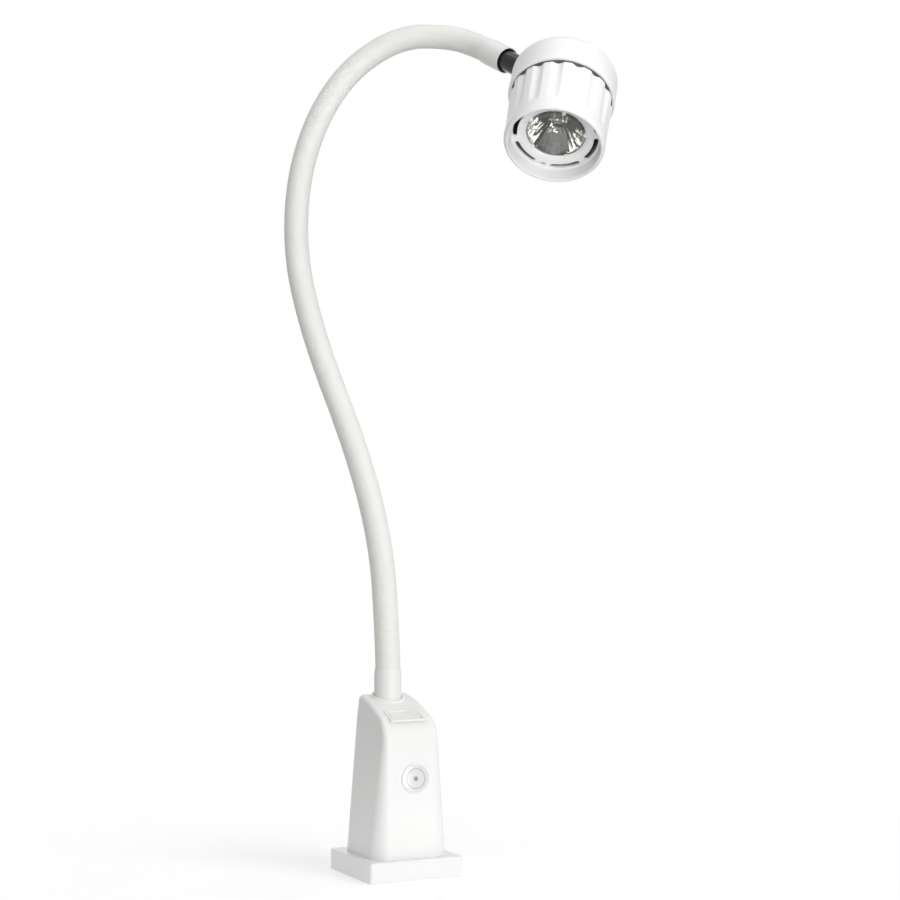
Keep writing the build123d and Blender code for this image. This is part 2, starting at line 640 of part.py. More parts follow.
# ------------------------------------------------------------------
# inner housing: black carrier plate and can under the sleeve
# ------------------------------------------------------------------
with BuildPart() as lamp_can:
    with BuildSketch(head_rz):
        with BuildLine():
            Polyline((12.5, can_s), (cap_r - cap_wall, can_s), (cap_r - cap_wall, can_s + 2.0), (36.0, can_s + 2.0), (36.0, can_s + 40.4), (34.2, can_s + 40.4), (34.2, can_s + 3.8), (12.5, can_s + 3.8), close=True)
        make_face()
    revolve(axis=head_axis)
    # bayonet lugs
    with BuildSketch(head_plane.offset(can_s + 9.4)):
        with PolarLocations(36.2, 3):
            Rectangle(1.2, 6.0)
    extrude(amount=2.5)
    # vents in the carrier plate
    with BuildSketch(head_plane.offset(can_s - 0.6)):
        with PolarLocations(25.0, 6, start_angle=30):
            SlotOverall(10.0, 4.0, rotation=90)
    extrude(amount=6, mode=Mode.SUBTRACT)
save(lamp_can, "lamp_can")

# ceramic lamp holder on a bent bracket
with BuildPart() as lamp_holder:
    with BuildSketch(head_plane.offset(can_s - 5.4)):
        RectangleRounded(16.0, 9.0, 2.0)
    extrude(amount=11.6)
    with BuildSketch(head_plane.offset(lamp_front_s - 46.0)):
        with Locations((-2.65, 0), (2.65, 0)):
            Circle(0.85)
    extrude(amount=14, mode=Mode.SUBTRACT)
save(lamp_holder, "lamp_holder")

with BuildPart() as holder_bracket:
    with BuildSketch(head_plane.offset(can_s + 3.85)):
        Rectangle(17.0, 32.0)
        Rectangle(16.1, 9.1, mode=Mode.SUBTRACT)
        with Locations((0, -13.0), (0, 13.0)):
            Circle(1.3, mode=Mode.SUBTRACT)
    extrude(amount=1.0)
save(holder_bracket, "holder_bracket")

with BuildPart() as holder_screws:
    with BuildSketch(head_plane.offset(can_s + 4.9)):
        with Locations((0, -13.0), (0, 13.0)):
            Circle(2.4)
    extrude(amount=1.5)
    with BuildSketch(head_plane.offset(can_s + 4.9)):
        with Locations((0, -13.0), (0, 13.0)):
            Circle(1.2)
    extrude(amount=-4.8)
    with BuildSketch(head_plane.offset(can_s + 6.4)):
        with Locations((0, -13.0), (0, 13.0)):
            Rectangle(3.6, 0.7)
    extrude(amount=-0.8, mode=Mode.SUBTRACT)
# matching holes in the carrier plate
with BuildPart() as lamp_can_drilled:
    add(lamp_can.part)
    with BuildSketch(head_plane.offset(can_s - 0.6)):
        with Locations((0, -13.0), (0, 13.0)):
            Circle(1.2)
    extrude(amount=6, mode=Mode.SUBTRACT)
save(lamp_can_drilled, "lamp_can")
save(holder_screws, "holder_screws")

# ------------------------------------------------------------------
# reflector lamp: dished glass reflector, capsule, pins, front glass
# ------------------------------------------------------------------
f = lamp_front_s
with BuildPart() as lamp_reflector:
    with BuildSketch(head_rz):
        with BuildLine():
            o1 = Polyline((0, f - 37.0), (7.2, f - 37.0), (7.6, f - 26.0), (10.5, f - 24.2))
            o2 = ThreePointArc(o1 @ 1, (19.6, f - 15.0), (24.2, f - 3.0))
            o3 = Polyline(o2 @ 1, (lamp_rim_r, f - 2.4), (lamp_rim_r, f), (23.6, f), (23.4, f - 1.4))
            o4 = ThreePointArc(o3 @ 1, (18.3, f - 13.2), (8.2, f - 22.4))
            Polyline(o4 @ 1, (5.2, f - 23.0), (5.2, f - 25.5), (0, f - 25.5), (0, f - 37.0))
        make_face()
    revolve(axis=head_axis)
    with BuildSketch(head_plane.offset(f - 38)):
        with Locations((-2.65, 0), (2.65, 0)):
            Circle(0.75)
    extrude(amount=6, mode=Mode.SUBTRACT)
save(lamp_reflector, "lamp_reflector")

with BuildPart() as lamp_capsule:
    with BuildSketch(head_plane.offset(f - 25.4)):
        Circle(4.5)
    extrude(amount=17.6)
    fillet(lamp_capsule.faces().sort_by(head_axis)[-1].edges(), radius=3.4)
save(lamp_capsule, "lamp_capsule")

with BuildPart() as lamp_pins:
    with BuildSketch(head_plane.offset(f - 32.0)):
        with Locations((-2.65, 0), (2.65, 0)):
            Circle(0.75)
    extrude(amount=-12.6)
save(lamp_pins, "lamp_pins")

with BuildPart() as lamp_glass:
    with BuildSketch(head_plane.offset(f - 1.3)):
        Circle(23.3)
    extrude(amount=1.1)
save(lamp_glass, "lamp_glass")

# ------------------------------------------------------------------
# sleeve: fluted twist-off shade with a recessed front face
# ------------------------------------------------------------------
s0, s1 = sleeve_s0, sleeve_s1
fs = s1 - face_depth
with BuildPart() as sleeve:
    with BuildSketch(head_rz):
        with BuildLine():
            a1 = Line((sleeve_bore, s0), (sleeve_r0 - 0.4, s0))
            a2 = Line(a1 @ 1, (sleeve_r0, s0 + 0.4))
            a3 = Line(a2 @ 1, (sleeve_r1 - 0.5, s1 - 9.0))
            a4 = ThreePointArc(a3 @ 1, (sleeve_r1, s1 - 4.4), (sleeve_r1 - 1.0, s1 - 1.3))
            a5 = ThreePointArc(a4 @ 1, (sleeve_r1 - 2.4, s1), (sleeve_r1 - 3.9, s1 - 1.4))
            a6 = Line(a5 @ 1, (35.7, fs + 1.4))
            a7 = ThreePointArc(a6 @ 1, (35.35, fs + 0.5), (34.7, fs + 0.1))
            a8 = Line(a7 @ 1, (30.2, fs))
            a9 = ThreePointArc(a8 @ 1, (27.2, fs + 0.3), (aperture_r + 1.2, fs - 1.2))
            a10 = ThreePointArc(a9 @ 1, (aperture_r + 0.25, fs - 1.75), (aperture_r, fs - 2.4))
            Polyline(a10 @ 1, (aperture_r, fs - 2.7), (27.5, fs - 2.2), (36.9, fs - 1.9), (37.3, fs - 1.5), (sleeve_bore, s0))
        make_face()
    revolve(axis=head_axis)
    # long air slots and three small holes in the recessed face
    with BuildSketch(head_plane.offset(fs - 4)):
        for start in (119, 172.5, 239, 292.5, 359, 52.5):
            with PolarLocations(0, 1, start_angle=-(start + 21.5)):
                SlotArc(CenterArc((0, 0), slot_r, -18.5, 37.0), height=slot_w)
        for ang in (106, 226, 346):
            with PolarLocations(slot_r, 1, start_angle=-ang):
                SlotOverall(4.4, 2.2, rotation=90)
    extrude(amount=8, mode=Mode.SUBTRACT)
    # five retaining nibs at the aperture
    with BuildSketch(head_plane.offset(fs - 2.5)):
        for ang in (140, 68, -4, -76, -148):
            with PolarLocations(aperture_r - 0.3, 1, start_angle=-ang):
                RectangleRounded(2.4, 3.0, 0.6)
    extrude(amount=1.8)
    # sixteen flutes, deep at the cap end and running out at the front ring
    with Locations(*[head_plane.location * Rot(0, 0, -(-164.5 + 22.5 * i)) * Pos(sleeve_r0 + flute_r - flute_deep, 0, s0) * Rot(0, flute_tilt, 0) for i in range(flutes)]):
        Cylinder(flute_r, 100.0, align=(Align.CENTER, Align.CENTER, Align.CENTER), mode=Mode.SUBTRACT)
save(sleeve, "sleeve")

# spring ring between the can and the sleeve's face
with BuildPart() as sleeve_spring:
    with BuildSketch(head_rz):
        with Locations((36.7, fs - 2.6)):
            Circle(0.5)
    revolve(axis=head_axis)
save(sleeve_spring, "sleeve_spring")

with BuildPart() as stem_screw:
    with BuildSketch(Plane(origin=neck_end + stem_dir * 58.5 + grub_side * (stem_r - 1.0), z_dir=grub_side)):
        Circle(1.45)
    extrude(amount=4.0)
with BuildPart() as cap_tapped:
    add(cap.part)
    add(stem_screw.part, mode=Mode.SUBTRACT)
with BuildPart() as stem_drilled:
    add(stem.part)
    add(stem_screw.part, mode=Mode.SUBTRACT)
save(cap_tapped, "cap")
save(stem_drilled, "stem")
save(stem_screw, "stem_screw")

print("head axis (%.5f, %.5f, %.5f)" % tuple(head_axis_dir), "stem dir (%.5f, %.5f, %.5f)" % tuple(stem_dir))
print("head x (%.5f, %.5f, %.5f)" % tuple(head_x), "head y (%.5f, %.5f, %.5f)" % tuple(head_y))
print("lid normal (%.5f, %.5f, %.5f)" % tuple(lid_n), "pivot (%.4f, %.4f, %.4f)" % tuple(lid_plane.from_local_coords((0, 0, -pivot_drop))))
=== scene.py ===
import bpy, bmesh, json, math
import numpy as np
from mathutils import Vector, Matrix


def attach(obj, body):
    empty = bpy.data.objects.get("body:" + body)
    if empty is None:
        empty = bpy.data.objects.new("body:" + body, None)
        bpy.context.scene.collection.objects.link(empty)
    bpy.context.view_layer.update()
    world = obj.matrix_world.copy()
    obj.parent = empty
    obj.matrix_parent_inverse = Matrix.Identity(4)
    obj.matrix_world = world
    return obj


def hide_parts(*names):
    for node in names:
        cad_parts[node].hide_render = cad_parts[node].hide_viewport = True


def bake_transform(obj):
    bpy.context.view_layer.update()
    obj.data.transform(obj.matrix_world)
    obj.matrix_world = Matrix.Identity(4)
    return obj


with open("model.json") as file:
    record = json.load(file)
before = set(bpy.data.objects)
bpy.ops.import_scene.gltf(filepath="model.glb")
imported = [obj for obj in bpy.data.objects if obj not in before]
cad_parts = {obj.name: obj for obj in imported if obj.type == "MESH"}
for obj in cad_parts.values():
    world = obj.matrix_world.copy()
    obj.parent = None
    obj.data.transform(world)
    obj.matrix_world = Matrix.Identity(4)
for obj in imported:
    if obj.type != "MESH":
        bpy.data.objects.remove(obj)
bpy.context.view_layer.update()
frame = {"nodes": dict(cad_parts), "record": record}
scene = bpy.context.scene
nodes = frame["nodes"]
MM = 0.001

# ------------------------------------------------------------------
# camera, level, seen from the front left
# ------------------------------------------------------------------
az = math.radians(-25.9)
back = Vector((math.sin(az), -math.cos(az), 0))
right = Vector((math.cos(az), math.sin(az), 0))
cam_data = bpy.data.cameras.new("camera")
cam_data.sensor_width = 36.0
cam_data.lens = 2317.0 / 900.0 * 36.0
cam_data.clip_start, cam_data.clip_end = 0.05, 60.0
cam = bpy.data.objects.new("camera", cam_data)
scene.collection.objects.link(cam)
cam.location = back * 1.8497 + right * 0.0433 + Vector((0, 0, 0.3369))
cam.rotation_mode = "QUATERNION"
cam.rotation_quaternion = (-back).to_track_quat("-Z", "Y")
scene.camera = cam
scene.view_settings.view_transform = "Standard"

# ------------------------------------------------------------------
# small node helpers
# ------------------------------------------------------------------


def new_mat(name):
    m = bpy.data.materials.new(name)
    m.use_nodes = True
    nt = m.node_tree
    bsdf = nt.nodes["Principled BSDF"]
    return m, nt, bsdf


def N(nt, kind, **props):
    n = nt.nodes.new(kind)
    for k, v in props.items():
        setattr(n, k, v)
    return n


def link(nt, a, b):
    nt.links.new(a, b)


def noise(nt, coord, scale, detail=2.0, rough=0.5):
    n = N(nt, "ShaderNodeTexNoise")
    n.inputs["Scale"].default_value = scale
    n.inputs["Detail"].default_value = detail
    n.inputs["Roughness"].default_value = rough
    link(nt, coord, n.inputs["Vector"])
    return n


def ramp(nt, fac, stops):
    r = N(nt, "ShaderNodeValToRGB")
    while len(r.color_ramp.elements) < len(stops):
        r.color_ramp.elements.new(0.5)
    for e, (p, c) in zip(r.color_ramp.elements, stops):
        e.position = p
        e.color = c if len(c) == 4 else (*c, 1.0)
    link(nt, fac, r.inputs["Fac"])
    return r


def mix_color(nt, fac, a, b, blend_type="MIX"):
    m = N(nt, "ShaderNodeMix", data_type="RGBA", blend_type=blend_type)
    f, ca, cb = m.inputs[0], m.inputs[6], m.inputs[7]
    for sock, v in ((f, fac), (ca, a), (cb, b)):
        if hasattr(v, "is_output"):
            link(nt, v, sock)
        elif isinstance(v, (int, float)):
            sock.default_value = v
        else:
            sock.default_value = (*v, 1.0) if len(v) == 3 else v
    return m.outputs[2]


def bump(nt, height, strength, distance, normal=None):
    b = N(nt, "ShaderNodeBump")
    b.inputs["Strength"].default_value = strength
    b.inputs["Distance"].default_value = distance
    link(nt, height, b.inputs["Height"])
    if normal is not None:
        link(nt, normal, b.inputs["Normal"])
    return b.outputs["Normal"]


def map_range(nt, v, a, b, c, d):
    m = N(nt, "ShaderNodeMapRange")
    link(nt, v, m.inputs["Value"])
    for i, x in zip(("From Min", "From Max", "To Min", "To Max"), (a, b, c, d)):
        m.inputs[i].default_value = x
    return m.outputs["Result"]


def object_coord(nt):
    return N(nt, "ShaderNodeTexCoord").outputs["Object"]


def plastic(name, base, rough, tone=0.02, grain=2600.0, grain_depth=0.00002, wear=0.03, coat=0.0, cloud=22.0, spec=0.5):
    """Moulded plastic or paint: slow tone changes, fine grain, a smudged roughness and slightly rubbed edges."""
    m, nt, b = new_mat(name)
    oc = object_coord(nt)
    slow = noise(nt, oc, cloud, 3.0, 0.55)
    fine = noise(nt, oc, grain, 2.0, 0.6)
    smudge = noise(nt, oc, 90.0, 4.0, 0.6)
    lo = tuple(c * (1 - tone) for c in base)
    hi = tuple(min(1.0, c * (1 + tone * 0.4)) for c in base)
    col = ramp(nt, slow.outputs["Fac"], [(0.3, lo), (0.7, hi)])
    geo = N(nt, "ShaderNodeNewGeometry")
    edge = ramp(nt, geo.outputs["Pointiness"], [(0.50, (0, 0, 0)), (0.58, (1, 1, 1))])
    worn = mix_color(nt, edge.outputs["Color"], col.outputs["Color"], tuple(min(1.0, c * (1 + wear)) for c in base))
    link(nt, worn, b.inputs["Base Color"])
    link(nt, map_range(nt, smudge.outputs["Fac"], 0.3, 0.7, rough - 0.05, rough + 0.06), b.inputs["Roughness"])
    link(nt, bump(nt, fine.outputs["Fac"], 0.35, grain_depth), b.inputs["Normal"])
    b.inputs["Specular IOR Level"].default_value = spec
    b.inputs["Coat Weight"].default_value = coat
    return m


def metal(name, base, rough, aniso=0.0, scale=(1, 1, 60), grain=400.0):
    m, nt, b = new_mat(name)
    oc = object_coord(nt)
    mp = N(nt, "ShaderNodeMapping")
    mp.inputs["Scale"].default_value = scale
    link(nt, oc, mp.inputs["Vector"])
    n = noise(nt, mp.outputs["Vector"], grain, 3.0, 0.6)
    s = noise(nt, oc, 60.0, 3.0, 0.6)
    col = ramp(nt, n.outputs["Fac"], [(0.3, tuple(c * 0.88 for c in base)), (0.7, tuple(min(1, c * 1.06) for c in base))])
    link(nt, col.outputs["Color"], b.inputs["Base Color"])
    b.inputs["Metallic"].default_value = 1.0
    b.inputs["Anisotropic"].default_value = aniso
    link(nt, map_range(nt, s.outputs["Fac"], 0.3, 0.7, rough - 0.06, rough + 0.08), b.inputs["Roughness"])
    link(nt, bump(nt, n.outputs["Fac"], 0.25, 0.00003), b.inputs["Normal"])
    return m


white_tower = plastic("white_tower", (0.86, 0.86, 0.855), 0.42)
white_paint = plastic("white_paint", (0.82, 0.82, 0.818), 0.36, grain=900.0, grain_depth=0.00003)
white_head = plastic("white_head", (0.88, 0.88, 0.882), 0.40)
white_cuff = plastic("white_cuff", (0.84, 0.84, 0.825), 0.38)
white_pvc = plastic("white_pvc", (0.825, 0.82, 0.795), 0.46, grain=1800.0)
ivory = plastic("ivory_switch", (0.86, 0.85, 0.81), 0.34)
black_satin = plastic("black_satin", (0.010, 0.010, 0.010), 0.17, tone=0.3, wear=0.4)
black_matt = plastic("black_matt", (0.016, 0.016, 0.016), 0.48, tone=0.3, wear=0.4)
nylon = plastic("nylon_white", (0.82, 0.82, 0.80), 0.45)
steel = metal("steel_sheet", (0.60, 0.60, 0.59), 0.34)
screw_steel = metal("steel_screw", (0.63, 0.63, 0.62), 0.28)
core_steel = metal("steel_laminations", (0.22, 0.22, 0.23), 0.5, scale=(1, 40, 1), grain=120.0)
spiral_steel = metal("steel_spiral", (0.50, 0.50, 0.50), 0.36)
copper = metal("copper_winding", (0.75, 0.36, 0.18), 0.32, scale=(1, 1, 30), grain=300.0)
brass = metal("brass_contact", (0.80, 0.62, 0.30), 0.3)
ceramic = plastic("ceramic_holder", (0.80, 0.78, 0.73), 0.5, tone=0.05)

glass, nt, b = new_mat("lamp_glass")
oc = object_coord(nt)
n = noise(nt, oc, 120.0, 2.0)
b.inputs["Transmission Weight"].default_value = 1.0
b.inputs["IOR"].default_value = 1.47
link(nt, ramp(nt, n.outputs["Fac"], [(0.3, (0.96, 0.98, 0.98)), (0.7, (1, 1, 1))]).outputs["Color"], b.inputs["Base Color"])
link(nt, map_range(nt, n.outputs["Fac"], 0.3, 0.7, 0.0, 0.03), b.inputs["Roughness"])

mirror, nt, b = new_mat("reflector_coating")
oc = object_coord(nt)
n = noise(nt, oc, 260.0, 3.0)
b.inputs["Metallic"].default_value = 1.0
link(nt, ramp(nt, n.outputs["Fac"], [(0.3, (0.46, 0.47, 0.44)), (0.7, (0.58, 0.58, 0.56))]).outputs["Color"], b.inputs["Base Color"])
link(nt, map_range(nt, n.outputs["Fac"], 0.3, 0.7, 0.03, 0.09), b.inputs["Roughness"])

# printed pale label under clear resin: a plain grey ring and a small dot, nothing else
badge_print, nt, b = new_mat("badge_print")
oc = object_coord(nt)
sub = N(nt, "ShaderNodeVectorMath", operation="SUBTRACT")
link(nt, oc, sub.inputs[0])
sub.inputs[1].default_value = (0.0029, -0.0306, 0.0783)
ln = N(nt, "ShaderNodeVectorMath", operation="LENGTH")
link(nt, sub.outputs[0], ln.inputs[0])
pale = (0.74, 0.74, 0.76)
ringmap = ramp(nt, map_range(nt, ln.outputs["Value"], 0.0, 0.0122, 0.0, 1.0), [(0.0, (0.30, 0.30, 0.32)), (0.17, (0.30, 0.30, 0.32)), (0.21, pale), (0.60, pale), (0.625, (0.45, 0.45, 0.48)), (0.665, (0.45, 0.45, 0.48)), (0.69, pale), (0.90, pale), (0.95, (0.84, 0.84, 0.86))])
bn_ = noise(nt, oc, 500.0, 2.0)
link(nt, mix_color(nt, map_range(nt, bn_.outputs["Fac"], 0.35, 0.65, 0.0, 0.12), ringmap.outputs["Color"], (0.80, 0.80, 0.82)), b.inputs["Base Color"])
link(nt, map_range(nt, bn_.outputs["Fac"], 0.3, 0.7, 0.10, 0.16), b.inputs["Roughness"])
b.inputs["Coat Weight"].default_value = 1.0
b.inputs["Coat Roughness"].default_value = 0.22

SLOT_MAT = {
    "plate_paint": white_paint, "tower_plastic": white_tower, "head_plastic": white_head, "cuff_plastic": white_cuff,
    "neck_pvc": white_pvc, "switch_ivory": ivory, "badge_resin": white_tower, "screw_steel": screw_steel, "sheet_steel": steel,
    "neck_spiral": spiral_steel, "core_laminations": core_steel, "coil_winding": copper, "terminal_nylon": nylon,
    "black_plastic": black_matt, "fuse_glass": glass, "gland_nylon": nylon, "contact_brass": brass, "stem_black": black_satin,
    "holder_ceramic": ceramic, "lamp_glass": glass, "reflector_coating": mirror, "lead_rubber": black_matt,
}
node_slot = {s["node"]: s["material_slot"] for s in frame["record"]["subparts"]}
for name, o in nodes.items():
    m = SLOT_MAT[node_slot[name]]
    o.data.materials.clear()
    o.data.materials.append(m)

can_metal = plastic("can_grey", (0.20, 0.195, 0.175), 0.42, tone=0.2, wear=0.1)
nodes["lamp_can"].data.materials[0] = can_metal

# ------------------------------------------------------------------
# mesh helpers (millimetres in, metres out)
# ------------------------------------------------------------------


def make_mesh(name, verts, faces, mats, sharp=50.0, face_mat=None, flat=False):
    me = bpy.data.meshes.new(name)
    me.from_pydata((np.asarray(verts, float) * MM).tolist(), [], faces)
    me.validate()
    for m in (mats if isinstance(mats, (list, tuple)) else [mats]):
        me.materials.append(m)
    if face_mat is not None:
        me.polygons.foreach_set("material_index", face_mat)
    me.polygons.foreach_set("use_smooth", [not flat] * len(me.polygons))
    me.update()
    if not flat:
        me.set_sharp_from_angle(angle=math.radians(sharp))
    o = bpy.data.objects.new(name, me)
    scene.collection.objects.link(o)
    return o


def outward(o):
    """Turns every face of a closed mesh outwards."""
    bm = bmesh.new()
    bm.from_mesh(o.data)
    bmesh.ops.recalc_face_normals(bm, faces=bm.faces)
    bm.to_mesh(o.data)
    bm.free()
    return o


def grid_faces(rows, n, closed_rows=False, offset=0):
    out = []
    last = rows if closed_rows else rows - 1
    for i in range(last):
        a, b = offset + i * n, offset + ((i + 1) % rows) * n
        for k in range(n):
            k2 = (k + 1) % n
            out.append((a + k, a + k2, b + k2, b + k))
    return out


def lathe(name, profile, axis_o, ax, ay, az, mats, n=96, sharp=50.0, closed=True, flat=False):
    """A closed profile of (radius, height) turned round an axis."""
    t = np.linspace(0, 2 * np.pi, n, endpoint=False)
    rows = []
    for r, h in profile:
        rows.append(axis_o + az * h + r * (np.cos(t)[:, None] * ax + np.sin(t)[:, None] * ay))
    return make_mesh(name, np.concatenate(rows), grid_faces(len(profile), n, closed), mats, sharp, flat=flat)


def smoothstep(x):
    x = np.clip(x, 0, 1)
    return x * x * (3 - 2 * x)


# ------------------------------------------------------------------
# the gooseneck's line: straight in both cuffs, bent between them
# ------------------------------------------------------------------
NECK = np.array([
    (0.0, 15.5, 118.0), (0.0, 15.5, 148.0), (0.0, 15.5, 170.0), (-0.2, 18.4, 201.5),
    (1.8, 29.4, 245.3), (1.1, 46.8, 287.3), (-2.4, 66.6, 327.2),
    (-7.3, 89.2, 366.3), (-18.4, 103.4, 408.1), (-28.2, 114.7, 450.5),
    (-35.1, 122.8, 494.6), (-34.7, 126.6, 539.8), (-27.1, 127.8, 583.9),
    (-10.7, 124.1, 626.8), (14.9, 117.2, 662.7), (51.9, 101.0, 687.6),
    (88.4, 81.0, 686.6), (104.3, 64.0, 677.8), (109.36, 44.86, 668.67), (114.0, 27.3, 660.3)])
NECK_LEN = 733.40
CELL = 110.40
FIRST = 43.0


def neck_curve():
    """Centreline points, evenly dense, with their distance along the line."""
    out = [NECK[0]]
    mids = (NECK[:-1] + NECK[1:]) / 2
    for i in range(1, len(NECK) - 1):
        t = np.linspace(0, 1, 60)[:, None]
        out.extend((1 - t) ** 2 * mids[i - 1] + 2 * t * (1 - t) * NECK[i] + t ** 2 * mids[i])
    out.append(NECK[-1])
    p = np.array(out)
    keep = np.concatenate([[True], np.linalg.norm(np.diff(p, axis=0), axis=1) > 1e-6])
    p = p[keep]
    d = np.concatenate([[0], np.cumsum(np.linalg.norm(np.diff(p, axis=0), axis=1))])
    return p, d * NECK_LEN / d[-1]


neck_p, neck_d = neck_curve()


def on_neck(d):
    return np.stack([np.interp(d, neck_d, neck_p[:, i]) for i in range(3)], -1)


def neck_frames(d):
    """Points, tangents and two cross directions that don't twist."""
    p = on_neck(d)
    tan = on_neck(np.minimum(d + 0.6, NECK_LEN)) - on_neck(np.maximum(d - 0.6, 0))
    tan /= np.linalg.norm(tan, axis=1)[:, None]
    ref = np.array([0.8996, -0.4368, 0.0])
    u = np.zeros_like(p)
    v = ref
    for i in range(len(p)):
        v = v - tan[i] * (v @ tan[i])
        v = v / np.linalg.norm(v)
        u[i] = v
    w = np.cross(tan, u)
    return p, tan, u, w


def neck_tube(name, d, radius, inner, mats, n=56):
    """A closed tube along the neck; radius is one value per ring."""
    p, tan, u, w = neck_frames(d)
    t = np.linspace(0, 2 * np.pi, n, endpoint=False)
    ringdir = np.cos(t)[None, :, None] * u[:, None, :] + np.sin(t)[None, :, None] * w[:, None, :]
    outer = p[:, None, :] + ringdir * radius[:, None, None]
    step = max(1, len(d) // 60)
    idx = np.unique(np.concatenate([np.arange(0, len(d), step), [len(d) - 1]]))
    inner_v = p[idx][:, None, :] + ringdir[idx] * inner
    verts = np.concatenate([outer.reshape(-1, 3), inner_v[::-1].reshape(-1, 3)])
    rows = len(d) + len(idx)
    return make_mesh(name, verts, grid_faces(rows, n, True), mats, 50.0)


for j in range(6):
    d0 = 19.5 if j == 0 else FIRST + CELL * j
    d1 = NECK_LEN - 26.2 if j == 5 else FIRST + CELL * (j + 1)
    rib = CELL / 66.0
    count = int(round((d1 - d0) / rib * 6)) + 1
    d = np.linspace(d0, d1, count)
    ribs = 0.055 * np.cos(2 * np.pi * (d - FIRST) / rib)
    wander = 0.03 * np.sin(d * 0.31) * np.sin(d * 0.083 + 1.0)
    fade = smoothstep((d - d0) / 3.0) * smoothstep((d1 - d) / 3.0)
    tube = neck_tube("sheath_%d" % (j + 1), d, 10.06 + ribs + wander * fade, 8.9, white_pvc)
    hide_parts("neck_sheath_%d" % (j + 1))
    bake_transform(tube)
    d0 = 0.5 if j == 0 else FIRST + CELL * j + 0.05
    d1 = NECK_LEN - 0.5 if j == 5 else FIRST + CELL * (j + 1) - 0.05
    d = np.linspace(d0, d1, int((d1 - d0) / 1.5))
    lead = neck_tube("lead_%d" % (j + 1), d, 2.2 + 0.08 * np.cos(2 * np.pi * d / 9.0), 0.7, black_matt, n=20)
    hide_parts("neck_lead_%d" % (j + 1))
    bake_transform(lead)

# ------------------------------------------------------------------
# head frame
# ------------------------------------------------------------------


def unit(v):
    v = np.array(v, float)
    return v / np.linalg.norm(v)


HA = unit((-0.40273, -0.51289, -0.75812))
HX = unit(np.array([0.8996, -0.4368, 0.0]) - HA * (np.array([0.8996, -0.4368, 0.0]) @ HA))
HY = np.cross(HA, HX)
HO = np.array([135.9, -33.8, 641.95])
S0, S1 = 33.3, 86.6
R0, R1 = 41.3, 40.4
FS = S1 - 11.8
AP = 23.7


def head_point(r, phi, s):
    """phi turns from head x towards head y."""
    return HO + HA * np.asarray(s)[..., None] + np.asarray(r)[..., None] * (np.cos(phi)[..., None] * HX + np.sin(phi)[..., None] * HY)


def arc(c, rad, a0, a1, n):
    t = np.radians(np.linspace(a0, a1, n))
    return [(c[0] + rad * math.cos(q), c[1] + rad * math.sin(q)) for q in t]


